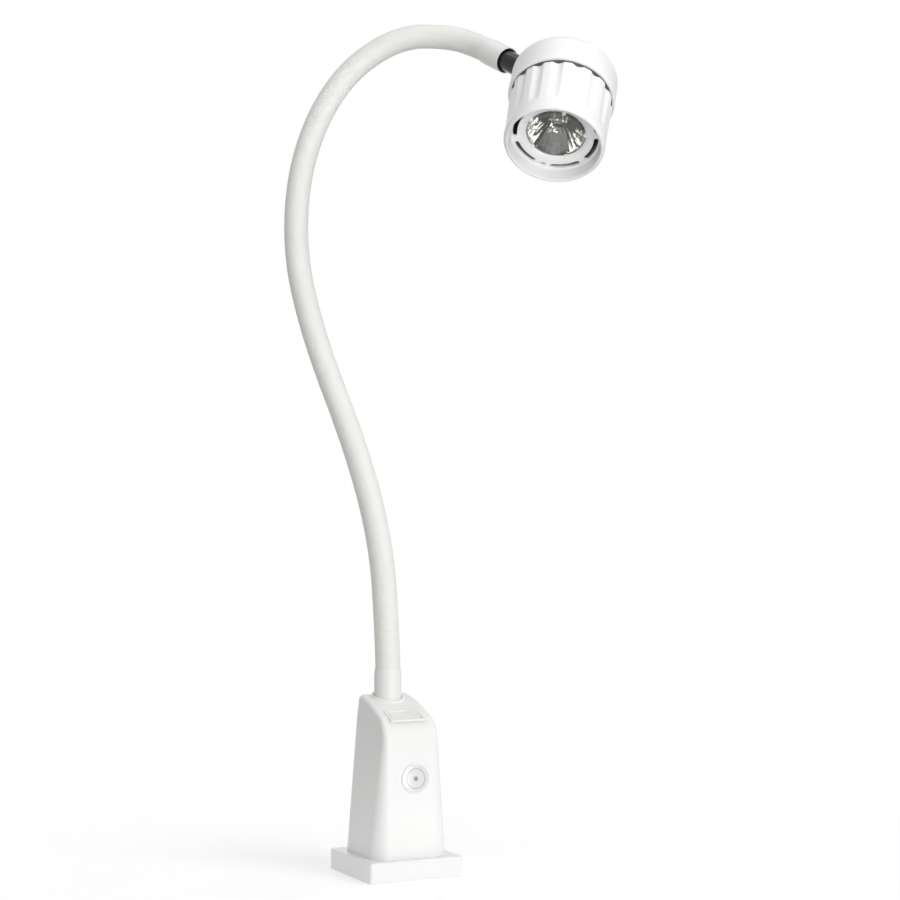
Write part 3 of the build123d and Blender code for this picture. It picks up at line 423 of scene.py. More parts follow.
def fluted_sleeve():
    n = 576
    phi = np.linspace(0, 2 * np.pi, n, endpoint=False)
    # signed distance to the air slots and small holes, on the recessed face
    slots = [math.radians(-(q + 21.5)) for q in (119, 172.5, 239, 292.5, 359, 52.5)]
    holes = [math.radians(-q) for q in (106, 226, 346)]

    def wrap(x):
        return (x + np.pi) % (2 * np.pi) - np.pi

    def sdf(r, f):
        best = np.full(np.broadcast(r, f).shape, 1e9)
        for c in slots:
            u = np.abs(wrap(f - c)) * 32.4
            best = np.minimum(best, np.hypot(np.maximum(u - math.radians(18.5) * 32.4, 0), r - 32.4) - 1.8)
        for c in holes:
            u = np.abs(wrap(f - c)) * 32.4
            best = np.minimum(best, np.hypot(np.maximum(u - 1.1, 0), r - 32.4) - 1.1)
        return best

    prof, tag = [], []

    def add(pts, name):
        for q in pts:
            prof.append(q)
            tag.append(name)

    add([(37.3, S0 + 6.0), (37.3, S0 + 0.9)], "bore")
    add([(37.45, S0 + 0.35), (37.9, S0 + 0.05)], "rim")
    add([(38.6, S0), (39.6, S0), (40.3, S0), (40.75, S0 + 0.05)], "rim")
    add([(41.0, S0 + 0.2), (41.2, S0 + 0.55)], "side")
    side_end = S1 - 8.5
    ss = np.linspace(S0 + 1.0, side_end, 72)
    add([(R0 - (R0 - R1 + 0.35) * (q - S0) / (side_end - S0), q) for q in ss], "side")
    rs = R1 - 0.35
    # front ring: a slight swell, then a full round edge
    add([(rs + 0.06, S1 - 7.9), (rs + 0.18, S1 - 7.2), (rs + 0.29, S1 - 6.4), (R1, S1 - 5.4), (R1 + 0.02, S1 - 4.6)], "ring")
    add([(R1 - 0.02, S1 - 3.8), (R1 - 0.12, S1 - 3.1), (R1 - 0.32, S1 - 2.35), (R1 - 0.62, S1 - 1.65), (R1 - 1.0, S1 - 1.05), (R1 - 1.45, S1 - 0.55), (R1 - 1.95, S1 - 0.2), (R1 - 2.45, S1 - 0.02), (R1 - 2.9, S1 - 0.03), (R1 - 3.3, S1 - 0.3), (R1 - 3.62, S1 - 0.8), (R1 - 3.8, S1 - 1.5)], "ring")
    add([(36.45, S1 - 2.6), (36.3, S1 - 4.0), (36.12, S1 - 6.0), (35.95, S1 - 8.0), (35.82, S1 - 9.4), (35.7, S1 - 10.3), (35.52, S1 - 10.95), (35.2, S1 - 11.45), (34.8, S1 - 11.72)], "inner")
    face_r = np.arange(34.5, 30.19, -0.36)
    top_first = len(prof)
    add([(q, FS) for q in face_r], "face")
    top_last = len(prof) - 1
    add([(29.6, FS + 0.02), (28.9, FS + 0.04), (28.2, FS), (27.4, FS - 0.12), (26.6, FS - 0.35), (25.9, FS - 0.7), (25.2, FS - 1.15), (24.6, FS - 1.6), (24.15, FS - 2.0), (23.85, FS - 2.35), (AP, FS - 2.62)], "funnel")
    add([(AP + 0.1, FS - 2.75), (24.6, FS - 2.7), (26.0, FS - 2.5), (28.0, FS - 2.25), (29.4, FS - 2.2)], "under")
    bot_first = len(prof)
    add([(q, FS - 2.15) for q in face_r[::-1]], "face_under")
    bot_last = len(prof) - 1
    add([(35.4, FS - 2.0), (36.6, FS - 1.95), (37.1, FS - 2.05), (37.3, FS - 2.4)], "under")
    add([(37.3, q) for q in np.linspace(FS - 8, S0 + 12, 5)], "bore")
    prof = np.array(prof)
    rows = len(prof)
    r = np.repeat(prof[:, 0][:, None], n, 1)
    s = np.repeat(prof[:, 1][:, None], n, 1)
    f = np.repeat(phi[None, :], rows, 0)
    # sixteen flutes with soft edges, deepest under the cap
    step = math.radians(22.5)
    x = wrap(phi - math.radians(162.5))
    x = np.abs((x + step / 2) % step - step / 2) / math.radians(6.9)
    shape = np.clip(1 - x ** 2, 0, None) ** 1.45
    for i in range(rows):
        if tag[i] in ("side", "rim"):
            u = min(1.0, max(0.0, (prof[i, 1] - S0) / (S1 - 10.2 - S0)))
            depth = (2.05 - 1.25 * u) * float(smoothstep(np.array((S1 - 9.6 - prof[i, 1]) / 6.5)))
            cut = depth * shape
            limit = 37.9 if prof[i, 0] < 40.5 else 0
            r[i] = np.maximum(r[i] - cut * np.clip((prof[i, 0] - 37.9) / 2.3, 0, 1), min(prof[i, 0], 37.9))
    # cells of the face inside a slot are left out, and the rest of the rim is moved onto its edge
    nf = len(face_r)
    rr = face_r[:, None] + 0 * phi[None, :]
    ff = phi[None, :] + 0 * face_r[:, None]
    rc = (face_r[:-1] + face_r[1:])[:, None] / 2 + 0 * phi[None, :]
    fc = ff[:-1] + np.pi / n
    gone = sdf(rc, fc) < 0.0
    touched = np.zeros((nf, n), bool)
    inside = np.zeros((nf, n), int)
    for i in range(nf - 1):
        for k in range(n):
            for (a, b) in ((i, k), (i, (k + 1) % n), (i + 1, k), (i + 1, (k + 1) % n)):
                if gone[i, k]:
                    inside[a, b] += 1
                touched[a, b] |= gone[i, k]
    rim = touched & (inside < 4)

    def onto(level):
        a, b = rr.copy(), ff.copy()
        for _ in range(6):
            e = 0.01
            v = sdf(a, b) - level
            gr = (sdf(a + e, b) - sdf(a - e, b)) / (2 * e)
            gu = (sdf(a, b + e / 32.4) - sdf(a, b - e / 32.4)) / (2 * e)
            g2 = np.maximum(gr ** 2 + gu ** 2, 0.2)
            a = np.where(rim, a - v * gr / g2, a)
            b = np.where(rim, b - v * gu / g2 / 32.4, b)
        return a, b

    ra, fa = onto(0.34)
    rb, fb = onto(0.09)
    r0_, f0_ = onto(0.0)
    r[top_first:top_last + 1], f[top_first:top_last + 1] = ra, fa
    r[bot_first:bot_last + 1], f[bot_first:bot_last + 1] = r0_[::-1], f0_[::-1]
    verts = head_point(r, f, s).reshape(-1, 3)
    faces = []
    for i in range(rows):
        i2 = (i + 1) % rows
        top = top_first <= i < top_last
        bot = bot_first <= i < bot_last
        for k in range(n):
            k2 = (k + 1) % n
            if top and gone[i - top_first, k]:
                continue
            if bot and gone[nf - 2 - (i - bot_first), k]:
                continue
            faces.append((i * n + k, i * n + k2, i2 * n + k2, i2 * n + k))
    # walls of the slots
    extra = []
    ring_b, ring_c = {}, {}
    base = rows * n

    def vert(store, key, rad, ang, ht):
        if key not in store:
            store[key] = base + len(extra)
            extra.append((rad, ang, ht))
        return store[key]

    def cellgone(i, k):
        return 0 <= i < nf - 1 and gone[i, k % n]

    def wall(p, q):
        """p, q are (row, column) grid points of one rim edge."""
        ids = []
        for (a, b) in (p, q):
            t0 = (top_first + a) * n + b
            t1 = vert(ring_b, (a, b), rb[a, b], fb[a, b], FS - 0.1)
            t2 = vert(ring_c, (a, b), r0_[a, b], f0_[a, b], FS - 0.36)
            t3 = (bot_last - a) * n + b
            ids.append((t0, t1, t2, t3))
        for m in range(3):
            faces.append((ids[0][m], ids[1][m], ids[1][m + 1], ids[0][m + 1]))

    for i in range(nf - 1):
        for k in range(n):
            if not gone[i, k]:
                continue
            k2 = (k + 1) % n
            if not cellgone(i - 1, k):
                wall((i, k), (i, k2))
            if not cellgone(i + 1, k):
                wall((i + 1, k), (i + 1, k2))
            if not gone[i, (k - 1) % n]:
                wall((i, k), (i + 1, k))
            if not gone[i, k2]:
                wall((i, k2), (i + 1, k2))
    ex = np.array(extra)
    verts = np.concatenate([verts, head_point(ex[:, 0], ex[:, 1], ex[:, 2])])
    o = make_mesh("sleeve_fluted", verts, faces, white_head, 38.0)
    bm = bmesh.new()
    bm.from_mesh(o.data)
    loose = [v for v in bm.verts if not v.link_faces]
    bmesh.ops.delete(bm, geom=loose, context="VERTS")
    bmesh.ops.recalc_face_normals(bm, faces=bm.faces)
    bm.to_mesh(o.data)
    bm.free()
    o.data.set_sharp_from_angle(angle=math.radians(38))
    return o


sleeve = fluted_sleeve()
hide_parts("sleeve")
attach(sleeve, "sleeve")


def nib(k, ang):
    """A small rounded tab that keeps the lamp from falling out of the aperture."""
    c = math.radians(-ang)
    verts, rows = [], []
    n = 20
    t = np.linspace(0, 2 * np.pi, n, endpoint=False)
    for h, sc in ((-2.6, 0.94), (-1.3, 1.0), (-0.9, 0.97), (-0.68, 0.86), (-0.58, 0.66), (-0.55, 0.3)):
        e = 0.42
        cr = np.sign(np.cos(t)) * np.abs(np.cos(t)) ** e * 1.35 * sc
        cu = np.sign(np.sin(t)) * np.abs(np.sin(t)) ** e * 1.45 * sc
        rad = AP - 0.15 + cr
        verts.append(head_point(rad, c + cu / AP, np.full(n, FS + h)))
    v = np.concatenate(verts)
    faces = grid_faces(6, n) + [tuple(range(n))[::-1], tuple(range(5 * n, 6 * n))]
    o = outward(make_mesh("lamp_nib_%d" % k, v, faces, white_head, 60))
    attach(o, "sleeve")


for k, ang in enumerate((140, 68, -4, -76, -148)):
    nib(k + 1, ang)

# ------------------------------------------------------------------
# reflector lamp: faceted bowl, capsule with its filament, front glass
# ------------------------------------------------------------------
F0 = 71.9


def faceted_reflector():
    """The bowl is one closed glass shell; its inside is pressed into flat facets."""
    n = 72
    t = np.linspace(0, 2 * np.pi, n, endpoint=False)
    inner = [(23.35, F0 - 1.5)]
    m = 16
    for i in range(1, m + 1):
        q = i / m
        rad = 23.2 - (23.2 - 7.4) * q
        z = F0 - 1.9 - 20.4 * (1 - (rad / 23.2) ** 1.75) / (1 - (7.4 / 23.2) ** 1.75)
        inner.append((rad, z))
    outer_p = [(6.6, F0 - 23.2), (5.4, F0 - 24.4), (5.2, F0 - 25.4), (0.9, F0 - 25.5), (0.9, F0 - 36.9), (7.0, F0 - 37.0), (7.2, F0 - 36.8), (7.5, F0 - 26.4),
             (10.4, F0 - 24.3), (15.6, F0 - 20.2), (19.6, F0 - 15.0), (22.6, F0 - 8.8), (24.1, F0 - 3.2), (25.2, F0 - 2.5), (25.35, F0 - 1.9), (25.3, F0 - 0.35), (25.0, F0), (23.9, F0 - 0.02), (23.62, F0 - 0.3), (23.5, F0 - 1.3)]
    rows = []
    for i, (r, s) in enumerate(inner):
        off = 0.0
        rows.append((r, s, off))
    verts, faces, mat = [], [], []
    rng = np.random.default_rng(11)
    for i, (r, s, off) in enumerate(rows):
        amp = 0.0 if i in (0, len(rows) - 1) else 0.012
        pleat = (0.0 if amp == 0.0 else 0.06) * np.where(np.arange(n) % 2 == 0, 1.0, -1.0)
        verts.append(head_point(r + pleat + rng.uniform(-amp, amp, n), t + off, s + rng.uniform(-amp, amp, n)))
    nr = len(rows)
    # facets: each band between two rings is split into triangles in pairs, the diagonal flipped on alternate bands
    for i in range(nr - 1):
        a, b = i * n, (i + 1) * n
        for k in range(n):
            k2 = (k + 1) % n
            if i % 2 == 0:
                faces += [(a + k, a + k2, b + k), (b + k, a + k2, b + k2)]
            else:
                faces += [(a + k, a + k2, b + k2), (b + k, a + k, b + k2)]
            mat += [0, 0]
    base = nr * n
    off_last = rows[-1][2]
    for r, s in outer_p:
        verts.append(head_point(np.full(n, r), t + off_last, np.full(n, s)))
    total = nr + len(outer_p)
    for i in range(nr - 1, total - 1):
        a, b = i * n, (i + 1) * n
        for k in range(n):
            faces.append((a + k, a + (k + 1) % n, b + (k + 1) % n, b + k))
            mat.append(1)
    a, b = (total - 1) * n, 0
    turn = off_last != 0
    for k in range(n):
        k2 = (k + 1) % n
        if turn:
            faces += [(a + k, a + k2, b + k2), (b + k, a + k, b + k2)]
        else:
            faces += [(a + k, a + k2, b + k2), (a + k, b + k2, b + k)]
        mat += [1, 1]
    o = make_mesh("reflector_faceted", np.concatenate(verts), faces, [mirror, bowl_glass], 50, face_mat=mat)
    smooth = [m_ == 1 for m_ in mat]
    if len(smooth) == len(o.data.polygons):
        o.data.polygons.foreach_set("use_smooth", smooth)
    return outward(o)


bowl_glass, nt, b = new_mat("bowl_glass")
oc = object_coord(nt)
n = noise(nt, oc, 220.0, 3.0)
b.inputs["Metallic"].default_value = 0.55
link(nt, ramp(nt, n.outputs["Fac"], [(0.3, (0.36, 0.38, 0.39)), (0.7, (0.50, 0.52, 0.53))]).outputs["Color"], b.inputs["Base Color"])
link(nt, map_range(nt, n.outputs["Fac"], 0.3, 0.7, 0.12, 0.25), b.inputs["Roughness"])

reflector = faceted_reflector()
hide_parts("lamp_reflector")
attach(reflector, "head")

# capsule: quartz envelope with a flattened seal, a tip, and the coil inside
cap_prof = [(0.0001, F0 - 7.4), (0.5, F0 - 7.45), (0.85, F0 - 7.9), (1.0, F0 - 8.5), (1.5, F0 - 9.0), (2.6, F0 - 9.5), (3.6, F0 - 10.4), (4.2, F0 - 11.7), (4.4, F0 - 13.3), (4.4, F0 - 17.5),
            (4.2, F0 - 19.0), (3.6, F0 - 20.2), (2.9, F0 - 21.0), (2.6, F0 - 22.0), (2.55, F0 - 25.0), (0.0001, F0 - 25.1)]


def capsule_glass():
    n = 40
    t = np.linspace(0, 2 * np.pi, n, endpoint=False)
    verts = []
    for r, s in cap_prof:
        pinch = float(smoothstep(np.array((F0 - 19.6 - s) / 2.6)))
        cx, cy = np.cos(t), np.sin(t)
        rx = r * (1 + 0.55 * pinch)
        ry = r * (1 - 0.42 * pinch)
        p = HO + HA * s + (rx * cx)[:, None] * HX + (ry * cy)[:, None] * HY
        verts.append(p)
    v = np.concatenate(verts)
    rows = len(cap_prof)
    faces = grid_faces(rows, n)
    faces += [tuple(range(n))[::-1], tuple(range((rows - 1) * n, rows * n))]
    o = outward(make_mesh("capsule_glass", v, faces, glass, 60))
    return o


capsule = capsule_glass()
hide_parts("lamp_capsule")
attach(capsule, "head")


def wire_mesh(name, pts, rad, mat, n=8):
    pts = np.array(pts, float)
    tan = np.gradient(pts, axis=0)
    tan /= np.linalg.norm(tan, axis=1)[:, None]
    ref = np.array([0.3, 0.5, 0.8])
    v = ref
    t = np.linspace(0, 2 * np.pi, n, endpoint=False)
    rows = []
    for p, q in zip(pts, tan):
        v = v - q * (v @ q)
        v /= np.linalg.norm(v)
        w = np.cross(q, v)
        rows.append(p + rad * (np.cos(t)[:, None] * v + np.sin(t)[:, None] * w))
    faces = grid_faces(len(pts), n) + [tuple(range(n))[::-1], tuple(range((len(pts) - 1) * n, len(pts) * n))]
    return outward(make_mesh(name, np.concatenate(rows), faces, mat, 60))


tungsten = metal("tungsten_coil", (0.62, 0.55, 0.42), 0.35, scale=(1, 1, 1), grain=900.0)
turns = 11
q = np.linspace(0, 1, turns * 14)
coil = []
coil += [HO + HA * (F0 - 24.0 + 9.6 * k) + HX * (-1.5 - 0.4 * k) for k in np.linspace(0, 1, 12)]
coil += [HO + HA * (F0 - 14.2 + 0.75 * math.sin(2 * math.pi * turns * k)) + HX * (-1.9 + 3.8 * k) + HY * (0.75 * math.cos(2 * math.pi * turns * k) - 0.75) for k in q]
coil += [HO + HA * (F0 - 14.4 - 9.6 * k) + HX * (1.9 - 0.4 * k) for k in np.linspace(0, 1, 12)]
filament = wire_mesh("filament", coil, 0.17, tungsten)
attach(filament, "head")

cover = lathe("lamp_front_glass", [(0.0001, F0 - 0.22), (8, F0 - 0.22), (16, F0 - 0.22), (22.6, F0 - 0.24), (23.1, F0 - 0.36), (23.3, F0 - 0.62), (23.3, F0 - 0.92), (23.1, F0 - 1.18), (22.6, F0 - 1.3), (16, F0 - 1.32), (8, F0 - 1.32), (0.0001, F0 - 1.32)],
              HO, HX, HY, HA, glass, n=96, closed=False)
bmw = bmesh.new()
bmw.from_mesh(cover.data)
bmesh.ops.remove_doubles(bmw, verts=bmw.verts, dist=1e-6)
bmesh.ops.recalc_face_normals(bmw, faces=bmw.faces)
bmw.to_mesh(cover.data)
bmw.free()
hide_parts("lamp_glass")
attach(cover, "head")

# ------------------------------------------------------------------
# tower: tapered moulding whose lid rolls over into the front
# ------------------------------------------------------------------
LIDN = np.array([0, -math.sin(math.radians(20.5)), math.cos(math.radians(20.5))])
LID0 = np.array([0, -15.0, 125.5])


def round_in(a, b, r):
    """Two surfaces met with a round of radius r."""
    return np.minimum(-r, np.maximum(a, b)) + np.hypot(np.maximum(a + r, 0), np.maximum(b + r, 0))


LID_Y = np.array([-60.0, -36.0, -29.0, -24.5, -20.5, -16.2, -12.0, -8.0, -4.0, 0.0, 5.5, 11.0, 15.5, 20.0, 27.0, 40.0])
LID_Z = np.array([103.0, 116.6, 120.6, 122.95, 124.85, 126.75, 128.55, 130.2, 131.85, 133.4, 135.35, 136.95, 138.05, 139.05, 140.3, 142.2])


def lid_z(y):
    """Height of the lid: straight under the switch, flatter towards the rear."""
    return np.interp(y, LID_Y, LID_Z)


def tower_d(p):
    z = p[..., 2]
    t = (z - 16.0) / 134.0
    hx = 33.0 - 12.6 * t
    xc = 0.9 * np.clip(t, 0, 1)
    y0 = -33.0 + 5.2 * t
    y1 = 33.0 - 4.4 * t
    rho = np.clip(14.0 - 13.4 * t, 3.4, 14.0)
    crown = 0.9 * (1 - ((p[..., 1] + 1.0) / 30.0) ** 2)
    y = p[..., 1]
    lid = ((z - lid_z(y - 1.2)) + (z - lid_z(y)) + (z - lid_z(y + 1.2))) / 3.0 * 0.94
    front = (y0 - y) * 0.999
    rear = (y - y1) * 0.999
    prof = round_in(lid, front, 12.0)
    prof = np.where(y > 5.0, round_in(np.maximum(lid, -60), rear, 4.0), prof)
    side = (np.abs(p[..., 0] - xc) - hx - crown + 0.5) * 0.997
    return round_in(prof, side, rho)


def tower_rows(level, zc, n, n_side, n_top):
    """Rings of points where tower_d equals level: level rays, then rays that rise to the middle of the lid."""
    c = np.array([0.0, -1.5, 0.0])
    alpha = np.linspace(0, 2 * np.pi, n, endpoint=False)
    rows = []
    orig, dirs = [], []
    for z in np.linspace(16.0, zc, n_side):
        orig.append(np.tile(c + [0, 0, z], (n, 1)))
        dirs.append(np.stack([np.cos(alpha), np.sin(alpha), np.zeros(n)], -1))
    for e in np.linspace(0, np.pi / 2, n_top + 1)[1:-1]:
        orig.append(np.tile(c + [0, 0, zc], (n, 1)))
        dirs.append(np.stack([np.cos(e) * np.cos(alpha), np.cos(e) * np.sin(alpha), np.full(n, np.sin(e))], -1))
    orig, dirs = np.array(orig), np.array(dirs)
    lo, hi = np.zeros(orig.shape[:2]), np.full(orig.shape[:2], 90.0)
    for _ in range(40):
        mid = (lo + hi) / 2
        out = tower_d(orig + dirs * mid[..., None]) > level
        hi = np.where(out, mid, hi)
        lo = np.where(out, lo, mid)
    pts = orig + dirs * lo[..., None]
    lo_, hi_ = 0.0, 60.0
    top = c + [0, 0, zc]
    for _ in range(40):
        m_ = (lo_ + hi_) / 2
        if tower_d(top + np.array([0, 0, m_])) > level:
            hi_ = m_
        else:
            lo_ = m_
    return pts, top + np.array([0, 0, lo_])


def tower_mesh():
    n = 288
    outer, otop = tower_rows(0.0, 100.0, n, 44, 60)
    inner, itop = tower_rows(-2.6, 96.0, n, 22, 30)
    ro, ri = len(outer), len(inner)
    verts = np.concatenate([outer.reshape(-1, 3), [otop], inner.reshape(-1, 3), [itop]])
    faces = grid_faces(ro, n)
    last = (ro - 1) * n
    faces += [(last + k, last + (k + 1) % n, ro * n) for k in range(n)]
    base = ro * n + 1
    faces += grid_faces(ri, n, offset=base)
    last = base + (ri - 1) * n
    faces += [(last + k, last + (k + 1) % n, base + ri * n) for k in range(n)]
    faces += [(k, (k + 1) % n, base + (k + 1) % n, base + k) for k in range(n)]
    return outward(make_mesh("tower_casing", verts, faces, white_tower, 40.0))


tower = tower_mesh()


def cutter(name, verts, faces):
    o = outward(make_mesh(name, verts, faces, white_tower, 40.0))
    return o


SN = np.array([0, -math.sin(math.radians(22)), math.cos(math.radians(22))])
SX, SY = np.array([1.0, 0, 0]), np.array([0, math.cos(math.radians(22)), math.sin(math.radians(22))])
SO = np.array([0.3, -16.2, 126.2])
hw, hh = 13.75, 7.4
corners = [(-hw, -hh), (hw, -hh), (hw, hh), (-hw, hh)]
v = [SO + SX * a + SY * b_ + SN * 6 for a, b_ in corners] + [SO + SX * a + SY * b_ - SN * 8 for a, b_ in corners]
cut1 = cutter("cut_window", v, [(0, 1, 2, 3), (7, 6, 5, 4), (0, 4, 5, 1), (1, 5, 6, 2), (2, 6, 7, 3), (3, 7, 4, 0)])
t = np.linspace(0, 2 * np.pi, 72, endpoint=False)
v = np.concatenate([np.stack([11.3 * np.cos(t), 15.5 + 11.3 * np.sin(t), np.full(72, z)], -1) for z in (118.0, 160.0)])
cut2 = cutter("cut_neck", v, [tuple(range(72))[::-1], tuple(range(72, 144))] + grid_faces(2, 72))
v = np.concatenate([np.stack([6.1 * np.cos(t), np.full(72, y), 34.0 + 6.1 * np.sin(t)], -1) for y in (24.0, 40.0)])
cut3 = cutter("cut_gland", v, [tuple(range(72))[::-1], tuple(range(72, 144))] + grid_faces(2, 72))
for c in (cut1, cut2, cut3):
    m = tower.modifiers.new(c.name, "BOOLEAN")
    m.operation = "DIFFERENCE"
    m.solver = "EXACT"
    m.object = c
bpy.context.view_layer.update()
deps = bpy.context.evaluated_depsgraph_get()
cut_mesh = bpy.data.meshes.new_from_object(tower.evaluated_get(deps))
tower.modifiers.clear()
tower.data = cut_mesh
for c in (cut1, cut2, cut3):
    bpy.data.objects.remove(c)
tower.data.materials.clear()
tower.data.materials.append(white_tower)
tower.data.polygons.foreach_set("material_index", [0] * len(tower.data.polygons))
tower.data.polygons.foreach_set("use_smooth", [True] * len(tower.data.polygons))
tower.data.set_sharp_from_angle(angle=math.radians(35))
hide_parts("tower_shell")
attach(tower, "base")

# raised collar round the neck, its top parallel to the lid
n = 120
t = np.linspace(0, 2 * np.pi, n, endpoint=False)
rows = []
for r, h in ((15.3, -0.35), (14.6, -0.02), (14.05, 0.16), (13.7, 0.42), (13.5, 0.8), (13.4, 1.2), (13.2, 1.52), (12.85, 1.74), (12.4, 1.8), (11.95, 1.72), (11.6, 1.5), (11.42, 1.15), (11.35, 0.6), (11.35, -2.4), (14.9, -2.4)):
    x, y = r * np.cos(t), 15.5 + r * np.sin(t)
    y = np.minimum(y, 27.25 - 0.35 * max(0.0, h) - (0.5 if h < 0.1 else 0.0))
    z = lid_z(y) + h * 1.04
    rows.append(np.stack([x, y, z], -1))
collar = outward(make_mesh("neck_collar", np.concatenate(rows), grid_faces(len(rows), n, True), white_tower, 60.0))
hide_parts("tower_shell")
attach(collar, "base")

# ------------------------------------------------------------------
# rocker switch: bevelled frame and a rocker with a hollowed top
# ------------------------------------------------------------------


def rrect(hx, hy, r, n=9):
    out = []
    for cx, cy, a0 in ((hx - r, hy - r, 0), (-hx + r, hy - r, 90), (-hx + r, -hy + r, 180), (hx - r, -hy + r, 270)):
        for k in range(n):
            q = math.radians(a0 + 90.0 * k / (n - 1))
            out.append((cx + r * math.cos(q), cy + r * math.sin(q)))
    return out


loops = [(13.6, 7.3, 0.6, -14.0), (13.6, 7.3, 0.6, -0.35), (15.5, 8.8, 1.2, -0.35), (15.5, 8.8, 1.2, 0.75), (15.38, 8.68, 1.15, 1.02), (15.1, 8.4, 1.0, 1.24), (14.8, 8.1, 0.9, 1.3),
         (13.3, 6.75, 0.8, 1.3), (13.05, 6.5, 0.7, 1.22), (12.85, 6.3, 0.6, 0.95), (12.75, 6.2, 0.5, 0.3), (12.75, 6.2, 0.5, -10.0), (12.75, 6.2, 0.5, -14.0)]
rows = [np.array([SO + SX * x + SY * y + SN * h for x, y in rrect(hx_, hy_, r_)]) for hx_, hy_, r_, h in loops]
frame_piece = outward(make_mesh("switch_frame", np.concatenate(rows), grid_faces(len(rows), 36, True), ivory, 40))
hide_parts("switch_housing")
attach(frame_piece, "base")

tl = math.radians(6.5)
RX = SX * math.cos(tl) + SN * math.sin(tl)
RN = -SX * math.sin(tl) + SN * math.cos(tl)
RO = SO - SN * 3.0
top = [(x, 44.2 - math.sqrt(41.0 ** 2 - x ** 2)) for x in np.linspace(-11.05, 11.05, 41)]
prof_r = [(-11.75, 0.4), (-11.9, 1.2), (-11.9, 2.2), (-11.75, 3.3), (-11.5, 4.2), (-11.32, 4.55)] + top + [(11.32, 4.55), (11.5, 4.2), (11.75, 3.3), (11.9, 2.2), (11.9, 1.2), (11.75, 0.4), (11.2, 0.0), (4, -0.1), (2.6, -1.9), (0, -2.8), (-2.6, -1.9), (-4, -0.1), (-11.2, 0.0)]
rows = []
for w_, k_ in ((-5.9, 0.955), (-5.72, 0.985), (-5.45, 1.0), (5.45, 1.0), (5.72, 0.985), (5.9, 0.955)):
    rows.append(np.array([RO + RX * (x * k_) + RN * (1.0 + (y - 1.0) * k_) + SY * w_ for x, y in prof_r]))
nr_ = len(prof_r)
rocker_piece = outward(make_mesh("rocker_key", np.concatenate(rows), grid_faces(6, nr_) + [tuple(range(nr_))[::-1], tuple(range(5 * nr_, 6 * nr_))], ivory, 32))
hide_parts("rocker_button")
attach(rocker_piece, "rocker")

# ------------------------------------------------------------------
# domed badge: pale label with a plain ring, under clear resin
# ------------------------------------------------------------------
lean = 5.2 / 134.0
bn = unit((0, -1, lean))
bx = np.array([1.0, 0, 0])
by = np.cross(bn, bx)
bc = np.array([2.9, -33.0 + (78.3 - 16.0) * lean, 78.3])
dome = lathe("badge_dome", [(0.0001, 1.28), (3, 1.26), (6, 1.2), (8.5, 1.12), (10, 1.02), (11, 0.86), (11.6, 0.66), (11.9, 0.44), (12.0, 0.2), (12.0, -0.02), (11.9, -0.12), (6, -0.12), (0.0001, -0.12)],
             bc, bx, by, bn, badge_print, n=120, closed=False)
for o in (dome,):
    bmw = bmesh.new()
    bmw.from_mesh(o.data)
    bmesh.ops.remove_doubles(bmw, verts=bmw.verts, dist=1e-6)
    bmesh.ops.recalc_face_normals(bmw, faces=bmw.faces)
    bmw.to_mesh(o.data)
    bmw.free()
    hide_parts("badge")
    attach(o, "base")

# ------------------------------------------------------------------
# floor and light
# ------------------------------------------------------------------
bm = bmesh.new()
rings, seg = 24, 96
prev = None
centre = bm.verts.new((0, 0, 0))
for r in range(1, rings + 1):
    rad = 0.5 * (r / rings) ** 1.3
    ring = [bm.verts.new((rad * math.cos(2 * math.pi * k / seg), rad * math.sin(2 * math.pi * k / seg), 0)) for k in range(seg)]
    for k in range(seg):
        if prev is None:
            bm.faces.new((centre, ring[k], ring[(k + 1) % seg]))
        else:
            bm.faces.new((prev[k], ring[k], ring[(k + 1) % seg], prev[(k + 1) % seg]))
    prev = ring
me = bpy.data.meshes.new("floor")
bm.to_mesh(me); bm.free()
floor = bpy.data.objects.new("floor", me)
scene.collection.objects.link(floor)
floor.location = (0, 0, -0.0002)
fm, nt, b = new_mat("floor_pale")
oc = object_coord(nt)
nn = noise(nt, oc, 6.0, 3.0)
b.inputs["Roughness"].default_value = 0.75
b.inputs["Specular IOR Level"].default_value = 0.2
link(nt, ramp(nt, nn.outputs["Fac"], [(0.3, (0.93, 0.93, 0.93)), (0.7, (0.96, 0.96, 0.96))]).outputs["Color"], b.inputs["Base Color"])
length = N(nt, "ShaderNodeVectorMath", operation="LENGTH")
link(nt, oc, length.inputs[0])
fade = ramp(nt, map_range(nt, length.outputs["Value"], 0.0, 0.5, 0.0, 1.0), [(0.20, (1, 1, 1)), (0.98, (0, 0, 0))])
fade.color_ramp.interpolation = "EASE"
link(nt, fade.outputs["Color"], b.inputs["Alpha"])
b.inputs["Emission Color"].default_value = (1, 1, 1, 1)
b.inputs["Emission Strength"].default_value = 0.22
floor.data.materials.append(fm)

world = bpy.data.worlds.new("studio")
scene.world = world
world.use_nodes = True
nt = world.node_tree
out = nt.nodes["World Output"]
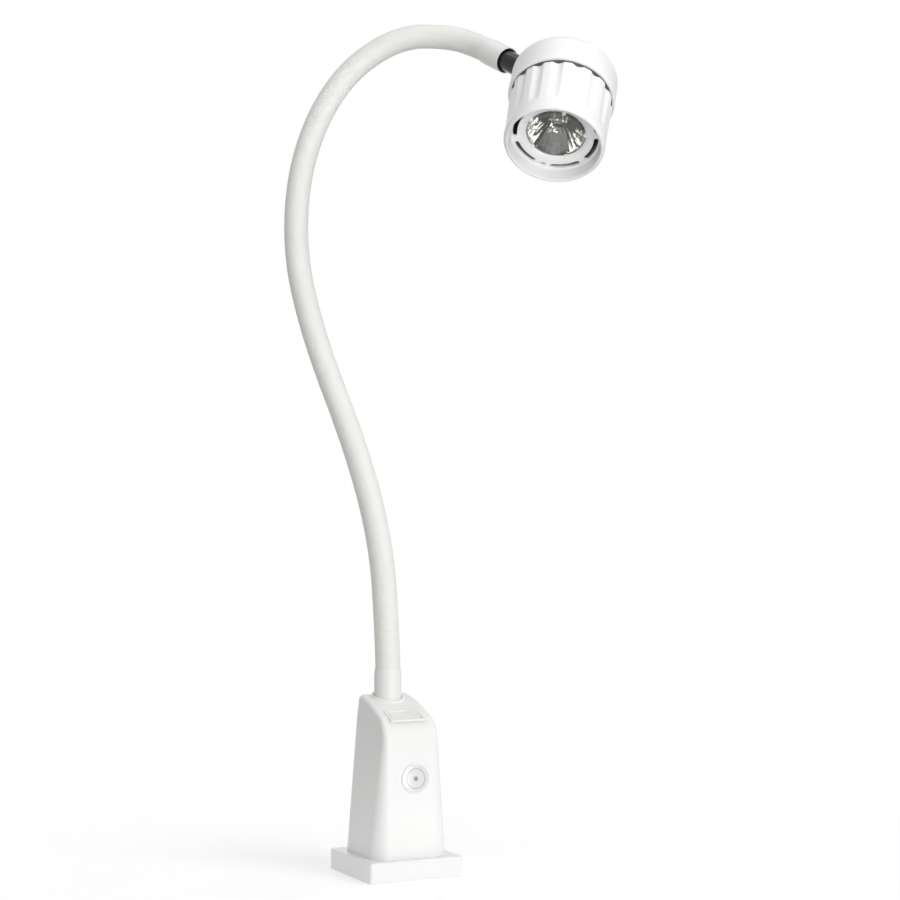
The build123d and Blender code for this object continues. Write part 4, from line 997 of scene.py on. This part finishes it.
# diffuse light falls off towards the ground; mirrors see a darker room on the camera's side
view = N(nt, "ShaderNodeTexCoord").outputs["Generated"]
sep = N(nt, "ShaderNodeSeparateXYZ")
link(nt, view, sep.inputs[0])
soft = nt.nodes["Background"]
link(nt, ramp(nt, map_range(nt, sep.outputs["Z"], -1.0, 1.0, 0.0, 1.0), [(0.0, (0.12, 0.12, 0.116)), (0.42, (0.22, 0.22, 0.216)), (0.60, (0.34, 0.34, 0.336)), (1.0, (0.74, 0.74, 0.74))]).outputs["Color"], soft.inputs["Color"])
soft.inputs["Strength"].default_value = 1.0
dot = N(nt, "ShaderNodeVectorMath", operation="DOT_PRODUCT")
link(nt, view, dot.inputs[0])
dot.inputs[1].default_value = (back.x, back.y, -0.15)
room = N(nt, "ShaderNodeBackground")
link(nt, ramp(nt, map_range(nt, dot.outputs["Value"], -1.0, 1.0, 0.0, 1.0), [(0.0, (0.80, 0.80, 0.80)), (0.45, (0.60, 0.60, 0.59)), (0.62, (0.14, 0.145, 0.13)), (1.0, (0.06, 0.065, 0.055))]).outputs["Color"], room.inputs["Color"])
room.inputs["Strength"].default_value = 1.0
paper = N(nt, "ShaderNodeBackground")
paper.inputs["Color"].default_value = (1, 1, 1, 1)
paper.inputs["Strength"].default_value = 1.0
lp = N(nt, "ShaderNodeLightPath")
m1 = N(nt, "ShaderNodeMixShader")
link(nt, lp.outputs["Is Diffuse Ray"], m1.inputs[0])
link(nt, room.outputs[0], m1.inputs[1])
link(nt, soft.outputs[0], m1.inputs[2])
m2 = N(nt, "ShaderNodeMixShader")
link(nt, lp.outputs["Is Camera Ray"], m2.inputs[0])
link(nt, m1.outputs[0], m2.inputs[1])
link(nt, paper.outputs[0], m2.inputs[2])
link(nt, m2.outputs[0], out.inputs["Surface"])


def area(name, loc, target, size, power, size_y=None):
    d = bpy.data.lights.new(name, "AREA")
    d.energy = power
    d.size = size
    if size_y:
        d.shape = "RECTANGLE"
        d.size_y = size_y
    o = bpy.data.objects.new(name, d)
    scene.collection.objects.link(o)
    o.location = loc
    o.rotation_mode = "QUATERNION"
    o.rotation_quaternion = (Vector(target) - Vector(loc)).to_track_quat("-Z", "Y")
    return o


mid = Vector((0.03, 0.03, 0.35))
area("front", Vector((0.30, -2.12, 0.15)), mid, 1.0, 15.6)
area("key", mid + Vector((0.45, -0.75, 0.48)).normalized() * 2.3, mid, 1.1, 11.5)
area("top", Vector((0.0, 0.0, 2.4)), mid, 1.4, 5.0)
area("rear", Vector((0.35, 2.30, 0.75)), mid, 1.5, 4.5)
fill = area("head_fill", Vector((-0.52, -1.05, 0.50)), Vector((0.08, -0.02, 0.61)), 0.5, 0.62)
fill.data.spread = math.radians(56)
